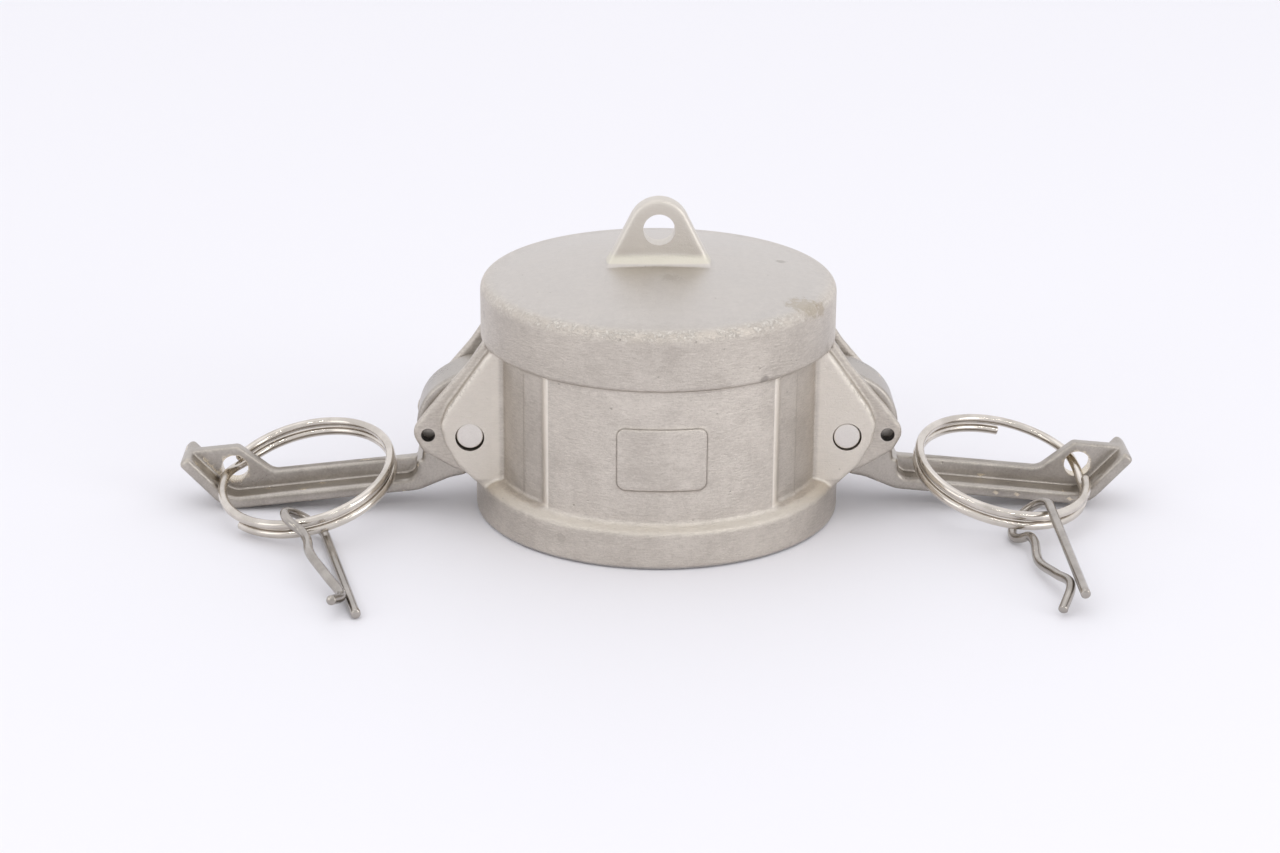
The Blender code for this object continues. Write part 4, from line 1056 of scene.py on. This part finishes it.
def cast_body_material(groups):
    """Satin cast steel of the cap: grain, mottle, worn rims, stains and the machined bore, with painted
    light and shade: highlights on edges, slopes and the rim's front, shade in hollows, holes and creases,
    and lighter ears and lug.
    """
    made, nodes, shader = new_material("cast_steel")
    grain = nodes.use(groups["grain"])
    edges = nodes.use(groups["edges"], Low=0.535, High=0.62)
    wall = nodes.use(groups["wall"])
    shelf = nodes.use(groups["rim"], Radius=0.0386, Height=0.0086, Width=0.0019)
    rim = nodes.use(groups["rim"], Radius=0.0372, Height=0.0506, Width=0.0024)
    smudge = nodes.use(groups["smudge"])["Smudge"]
    lathe = nodes.use(groups["lathe"])["Height"]
    radius, parts = nodes.from_axis()[1:]
    side = nodes.size(parts[0])
    height = parts[2]

    # Masks: the bands, the channels, the ears' outer layer, the crown, the lug and its foot, how far a
    # place is to the front, rounded edges for a painted highlight, the clip's holes for painted shade, and
    # the machined bore and mouth
    wide = nodes.ramp(radius, PANEL_RADIUS + 0.0003, PANEL_RADIUS + 0.0006)
    channel = nodes.times(nodes.fall(radius, CHANNEL_RADIUS + 0.0003, PANEL_RADIUS - 0.0006),
                          nodes.fall(height, TOP_BAND_LOWER_EDGE - 0.0003, TOP_BAND_LOWER_EDGE))
    outer_layer = nodes.ramp(nodes.size(parts[1]), 0.0106, 0.0116)
    ear = nodes.times(nodes.ramp(side, 0.0335, 0.0345), nodes.ramp(height, 0.0094, 0.0102),
                      nodes.fall(height, 0.0386, 0.0390), outer_layer)
    crown = nodes.ramp(height, RIM_TOP - 0.0006, RIM_TOP + 0.0004)
    lug = nodes.ramp(height, CROWN_TOP + 0.0002, CROWN_TOP + 0.0007)
    foot = nodes.times(lug, nodes.fall(height, CROWN_TOP + 0.0018, CROWN_TOP + 0.0025))
    # how far a place is to the front: keeps the rim's worn specks bright at the front only, as a painted
    # highlight
    facing = nodes.ramp(parts[1], -0.030, 0.012, 1.0, 0.12)
    edged = nodes.most(nodes.ramp(side, 0.0325, 0.0335), nodes.ramp(height, 0.0485, 0.0495, 0.0, 0.5))
    highlighted_edges = nodes.times(edges["Edge"], edged)
    from_hole = nodes.length(nodes.minus(side, PIVOT_REACH + CLIP_HOLE_REACH),
                             nodes.minus(height, PIVOT_HEIGHT - CLIP_HOLE_DROP))
    hole_shade = nodes.fall(from_hole, CLIP_HOLE_RADIUS, CLIP_HOLE_RADIUS + 0.00012)
    bore = nodes.times(nodes.fall(radius, 0.03385, 0.0341), nodes.fall(height, 0.0465, 0.0468))
    machined = nodes.most(bore, nodes.fall(height, 0.0002, 0.0008))

    smooth = nodes.ramp(height, RIM_TOP - 0.0004, RIM_TOP + 0.0010, 1.0, 0.50)
    tone = nodes.plus(nodes.times(grain["Mottle"], 0.60), nodes.times(grain["Streaks"], 0.40))
    tone = nodes.times(nodes.minus(tone, 0.5), smooth)
    colour = nodes.blend(nodes.ramp(tone, -0.14, 0.14), CAST_DARK, CAST_LIGHT)
    shaded = nodes.most(nodes.times(wide, 0.35), nodes.times(channel, 0.60))
    colour = nodes.blend(shaded, colour, BAND_SHADE, "MULTIPLY")
    colour = nodes.coats(
        colour,
        # painted light: the ears' outer faces lightened, as they face the bright front
        (ear, 0.64, EAR_PAINTED_LIGHT),
        (crown, 0.45, CROWN_TINT),
        # painted light: the lug lightened, as the light from the front falls on its faces
        (lug, 0.75, LUG_PAINTED_LIGHT),
        # painted reflection: the foot's upper face, yellowish as it reflects the light above
        (foot, 0.90, LUG_FOOT_REFLECTION),
        (nodes.times(smudge, outer_layer), 0.55, HOLLOW_SHADE_AND_SMUDGE),
        # painted highlight: a bright strip on each panel's slope, where it faces the side light
        (wall["Slope"], 1.00, SLOPE_HIGHLIGHT),
        # painted shade: dark lines at the channel's step, under the top band and round the label pad
        (wall["Lines"], 0.60, CREASE_SHADE),
        (wall["Pad Edge"], 0.42, CREASE_SHADE),
        (shelf["Wear"], 0.55, SHELF_TINT),
        # the crown's rim: a warm band and bright specks, partly wear, partly painted highlight at the front
        (nodes.times(rim["Wear"], facing), 0.30, RIM_TINT),
        (nodes.times(rim["Specks"], facing), 0.65, RIM_BRIGHT),
        # painted highlight along the rounded edges of the ears and the top
        (highlighted_edges, 0.35, EDGE_HIGHLIGHT),
        # painted shade in the hollows and creases
        (edges["Hollow"], 0.32, HOLLOW_SHADE_AND_SMUDGE),
        # painted shade inside the clip's holes
        (hole_shade, 1.00, HOLE_SHADE),
    )
    marks = []
    for spot, size, ragged, tint, amount in BODY_MARKS:
        marks.append(nodes.use(groups["patch"], Place=spot, Size=size, Ragged=ragged)["Inside"])
        colour = nodes.coats(colour, (marks[-1], amount, (*tint, 1.0)))
    colour = nodes.coats(colour, (grain["Pits"], 0.55, PIT_DARK), (machined, 1.0, MACHINED))

    shine = nodes.ramp(grain["Mottle"], 0.3, 0.7, 0.36, 0.50)
    shine = nodes.minus(shine, nodes.times(highlighted_edges, 0.10), nodes.times(machined, 0.14))
    relief = nodes.plus(nodes.times(grain["Height"], 0.9), nodes.times(grain["Streaks"], 0.8))
    relief = nodes.times(nodes.minus(relief, nodes.times(grain["Pits"], 0.8)), smooth)
    relief = nodes.plus(relief, nodes.times(wall["Pad"], 1.4))
    relief = nodes.minus(relief, wall["Lines"], nodes.times(nodes.most(*marks), 0.5),
                         nodes.times(rim["Specks"], 0.6))
    relief = nodes.plus(nodes.times(relief, nodes.minus(1.0, machined)), nodes.times(lathe, machined, 0.25))
    nodes.dress(shader, colour, shine, relief, 0.00016)
    return made


def cast_arm_material(groups):
    """The arms' tumbled casting: smoother and greyer, a golden painted highlight on its rounded edges and
    painted shade in its hollows.
    """
    made, nodes, shader = new_material("arm_steel")
    grain = nodes.use(groups["grain"], Grain_Size=0.00045, Pit_Share=0.25)
    edges = nodes.use(groups["edges"], Low=0.514, High=0.57)
    colour = nodes.coats(
        nodes.blend(nodes.ramp(grain["Mottle"], 0.36, 0.64), ARM_DARK, ARM_LIGHT),
        # painted highlight: golden along the rounded edges
        (edges["Edge"], 0.7, ARM_EDGE_HIGHLIGHT),
        # painted shade in the hollows
        (edges["Hollow"], 0.5, HOLLOW_SHADE_AND_SMUDGE),
        (grain["Pits"], 0.4, PIT_DARK),
    )
    shine = nodes.ramp(grain["Mottle"], 0.3, 0.7, 0.26, 0.40)
    shine = nodes.minus(shine, nodes.times(edges["Edge"], 0.08))
    nodes.dress(shader, colour, shine, nodes.minus(grain["Height"], grain["Pits"]), 0.00010)
    return made


def wire_material(name, dark, light, rough):
    """Drawn spring wire: a soft sheen and a little tarnish."""
    made, nodes, shader = new_material(name)
    where = nodes.place()
    blotch = nodes.noise(where, 140.0, 3.0, 0.55)
    fine = nodes.noise(where, 1500.0, 3.0, 0.6)
    colour = nodes.blend(nodes.ramp(blotch, 0.35, 0.65), dark, light)
    colour = nodes.blend(nodes.ramp(fine, 0.62, 0.80, 0.0, 0.14), colour, PIT_DARK)
    nodes.dress(shader, colour, nodes.ramp(blotch, 0.3, 0.7, rough, rough + 0.08), fine, 0.00001)
    return made


def pin_material(groups):
    """A pin's pale, lightly scuffed end."""
    made, nodes, shader = new_material("pin_steel")
    grain = nodes.use(groups["grain"], Grain_Size=0.00030, Pit_Share=0.2)
    colour = nodes.blend(nodes.ramp(grain["Mottle"], 0.36, 0.64), PIN_DARK, PIN_LIGHT)
    shine = nodes.ramp(grain["Mottle"], 0.3, 0.7, 0.30, 0.42)
    nodes.dress(shader, colour, shine, grain["Height"], 0.00004)
    return made


def nitrile_material():
    """Matt black rubber with a faint bloom."""
    made, nodes, shader = new_material("nitrile", 0.0)
    where = nodes.place()
    bloom = nodes.noise(where, 300.0, 4.0, 0.6)
    colour = nodes.blend(nodes.ramp(bloom, 0.4, 0.7), NITRILE_BLACK, NITRILE_BLOOM)
    shine = nodes.ramp(bloom, 0.3, 0.7, 0.52, 0.66)
    nodes.dress(shader, colour, shine, nodes.noise(where, 2500.0, 3.0), 0.00004)
    return made


def soft_light(name, place, target, size, power, colour=(1.0, 1.0, 1.0)):
    """A square soft box that faces a point."""
    lamp = bpy.data.lights.new(name, "AREA")
    lamp.size = size
    lamp.energy = power
    lamp.color = colour
    made = bpy.data.objects.new(name, lamp)
    bpy.context.scene.collection.objects.link(made)
    place, target = Vector(place), Vector(target)
    turn = (target - place).to_track_quat("-Z", "Y").to_matrix().to_4x4()
    made.matrix_world = Matrix.Translation(place + Vector(AXIS)) @ turn


def make_stage():
    """The white table, the room's soft light and the camera at the photograph's view."""
    size = 3.0
    table = add_object("table", [(-size, -size, 0), (size, -size, 0), (size, size, 0), (-size, size, 0)],
                       [(0, 1, 2, 3)])
    table.location.z = -0.0001
    made, nodes, shader = new_material("white_table", 0.0)
    shader.inputs["Base Color"].default_value = TABLE_WHITE
    shader.inputs["Roughness"].default_value = 0.6
    table.data.materials.append(made)

    world = bpy.data.worlds.new("studio")
    bpy.context.scene.world = world
    world.use_nodes = True
    nodes = Nodes(world.node_tree)
    sky = nodes.add("TexCoord").outputs["Generated"]
    front = nodes.fall(nodes.add("SeparateXYZ", {0: sky}).outputs[1], -0.90, 0.15)
    room = nodes.blend(front, STUDIO_BRIGHT, STUDIO_DIM)
    nodes.link(room, world.node_tree.nodes["Background"].inputs["Color"])
    soft_light("overhead", (-0.30, 0.20, 2.40), (0, 0, 0.03), 1.6, 2.6)
    soft_light("right box", (1.10, -0.75, 0.45), (0, 0, 0.03), 0.60, 2.6)
    soft_light("left box", (-1.10, -0.75, 0.45), (0, 0, 0.03), 0.60, 1.2)
    for place in (-1.1, -0.7, 0.3, 0.75, 1.2):
        soft_light("lamp", (place, -1.25, 1.30), (0, 0, 0.03), 0.07, 0.60, (1.0, 0.98, 0.95))

    right = np.array([0.99977, -0.02024, 0.00654])
    up = np.array([0.00097, 0.35043, 0.93659])
    ahead = np.array([0.02125, 0.93637, -0.35037])
    camera = bpy.data.objects.new("camera", bpy.data.cameras.new("camera"))
    bpy.context.scene.collection.objects.link(camera)
    place = Matrix.Identity(4)
    for row in range(3):
        place[row][0], place[row][1], place[row][2] = right[row], up[row], -ahead[row]
    place.translation = Vector((-0.017027, -0.585896, 0.236392)) + Vector(AXIS)
    camera.matrix_world = place
    camera.data.lens = 80.56
    camera.data.sensor_width = 36.0
    camera.data.clip_start = 0.01
    bpy.context.scene.camera = camera


def main():
    """Builds, dresses and lights everything."""
    groups = {
        "grain": make_grain_group(),
        "rim": make_rim_group(),
        "wall": make_wall_group(),
        "smudge": make_smudge_group(),
        "patch": make_patch_group(),
        "edges": make_edge_group(),
        "lathe": make_lathe_group(),
    }
    cast_steel = cast_body_material(groups)
    arm_steel = cast_arm_material(groups)
    pin_steel = pin_material(groups)
    ring_steel = wire_material("ring_steel", RING_DARK, RING_LIGHT, 0.13)
    clip_steel = wire_material("clip_steel", CLIP_DARK, CLIP_LIGHT, 0.17)
    nitrile = nitrile_material()

    settle(make_cap_body(), "cap_body", "cap", cast_steel)
    settle(make_gasket(), "gasket", "cap", nitrile)
    for side, pose in SIDES.items():
        settle(make_arm(side, pose), f"cam_arm_{side}", f"arm_{side}", arm_steel)
        settle(make_pin(side, pose), f"pivot_pin_{side}", "cap", pin_steel)
        turn, place = ring_frame(pose)
        ring = swept_wire(f"ring_{side}", placed(ring_path(pose), turn, place), turn[:, 2], WIRE_RADIUS)
        settle(ring, f"finger_ring_{side}", f"ring_{side}", ring_steel)
        turn, place = clip_frame(pose)
        clip = swept_wire(f"clip_{side}", placed(clip_path(), turn, place), turn[:, 2], WIRE_RADIUS)
        settle(clip, f"safety_clip_{side}", f"clip_{side}", clip_steel)
    make_stage()


main()
bpy.context.scene.view_settings.view_transform = "Standard"
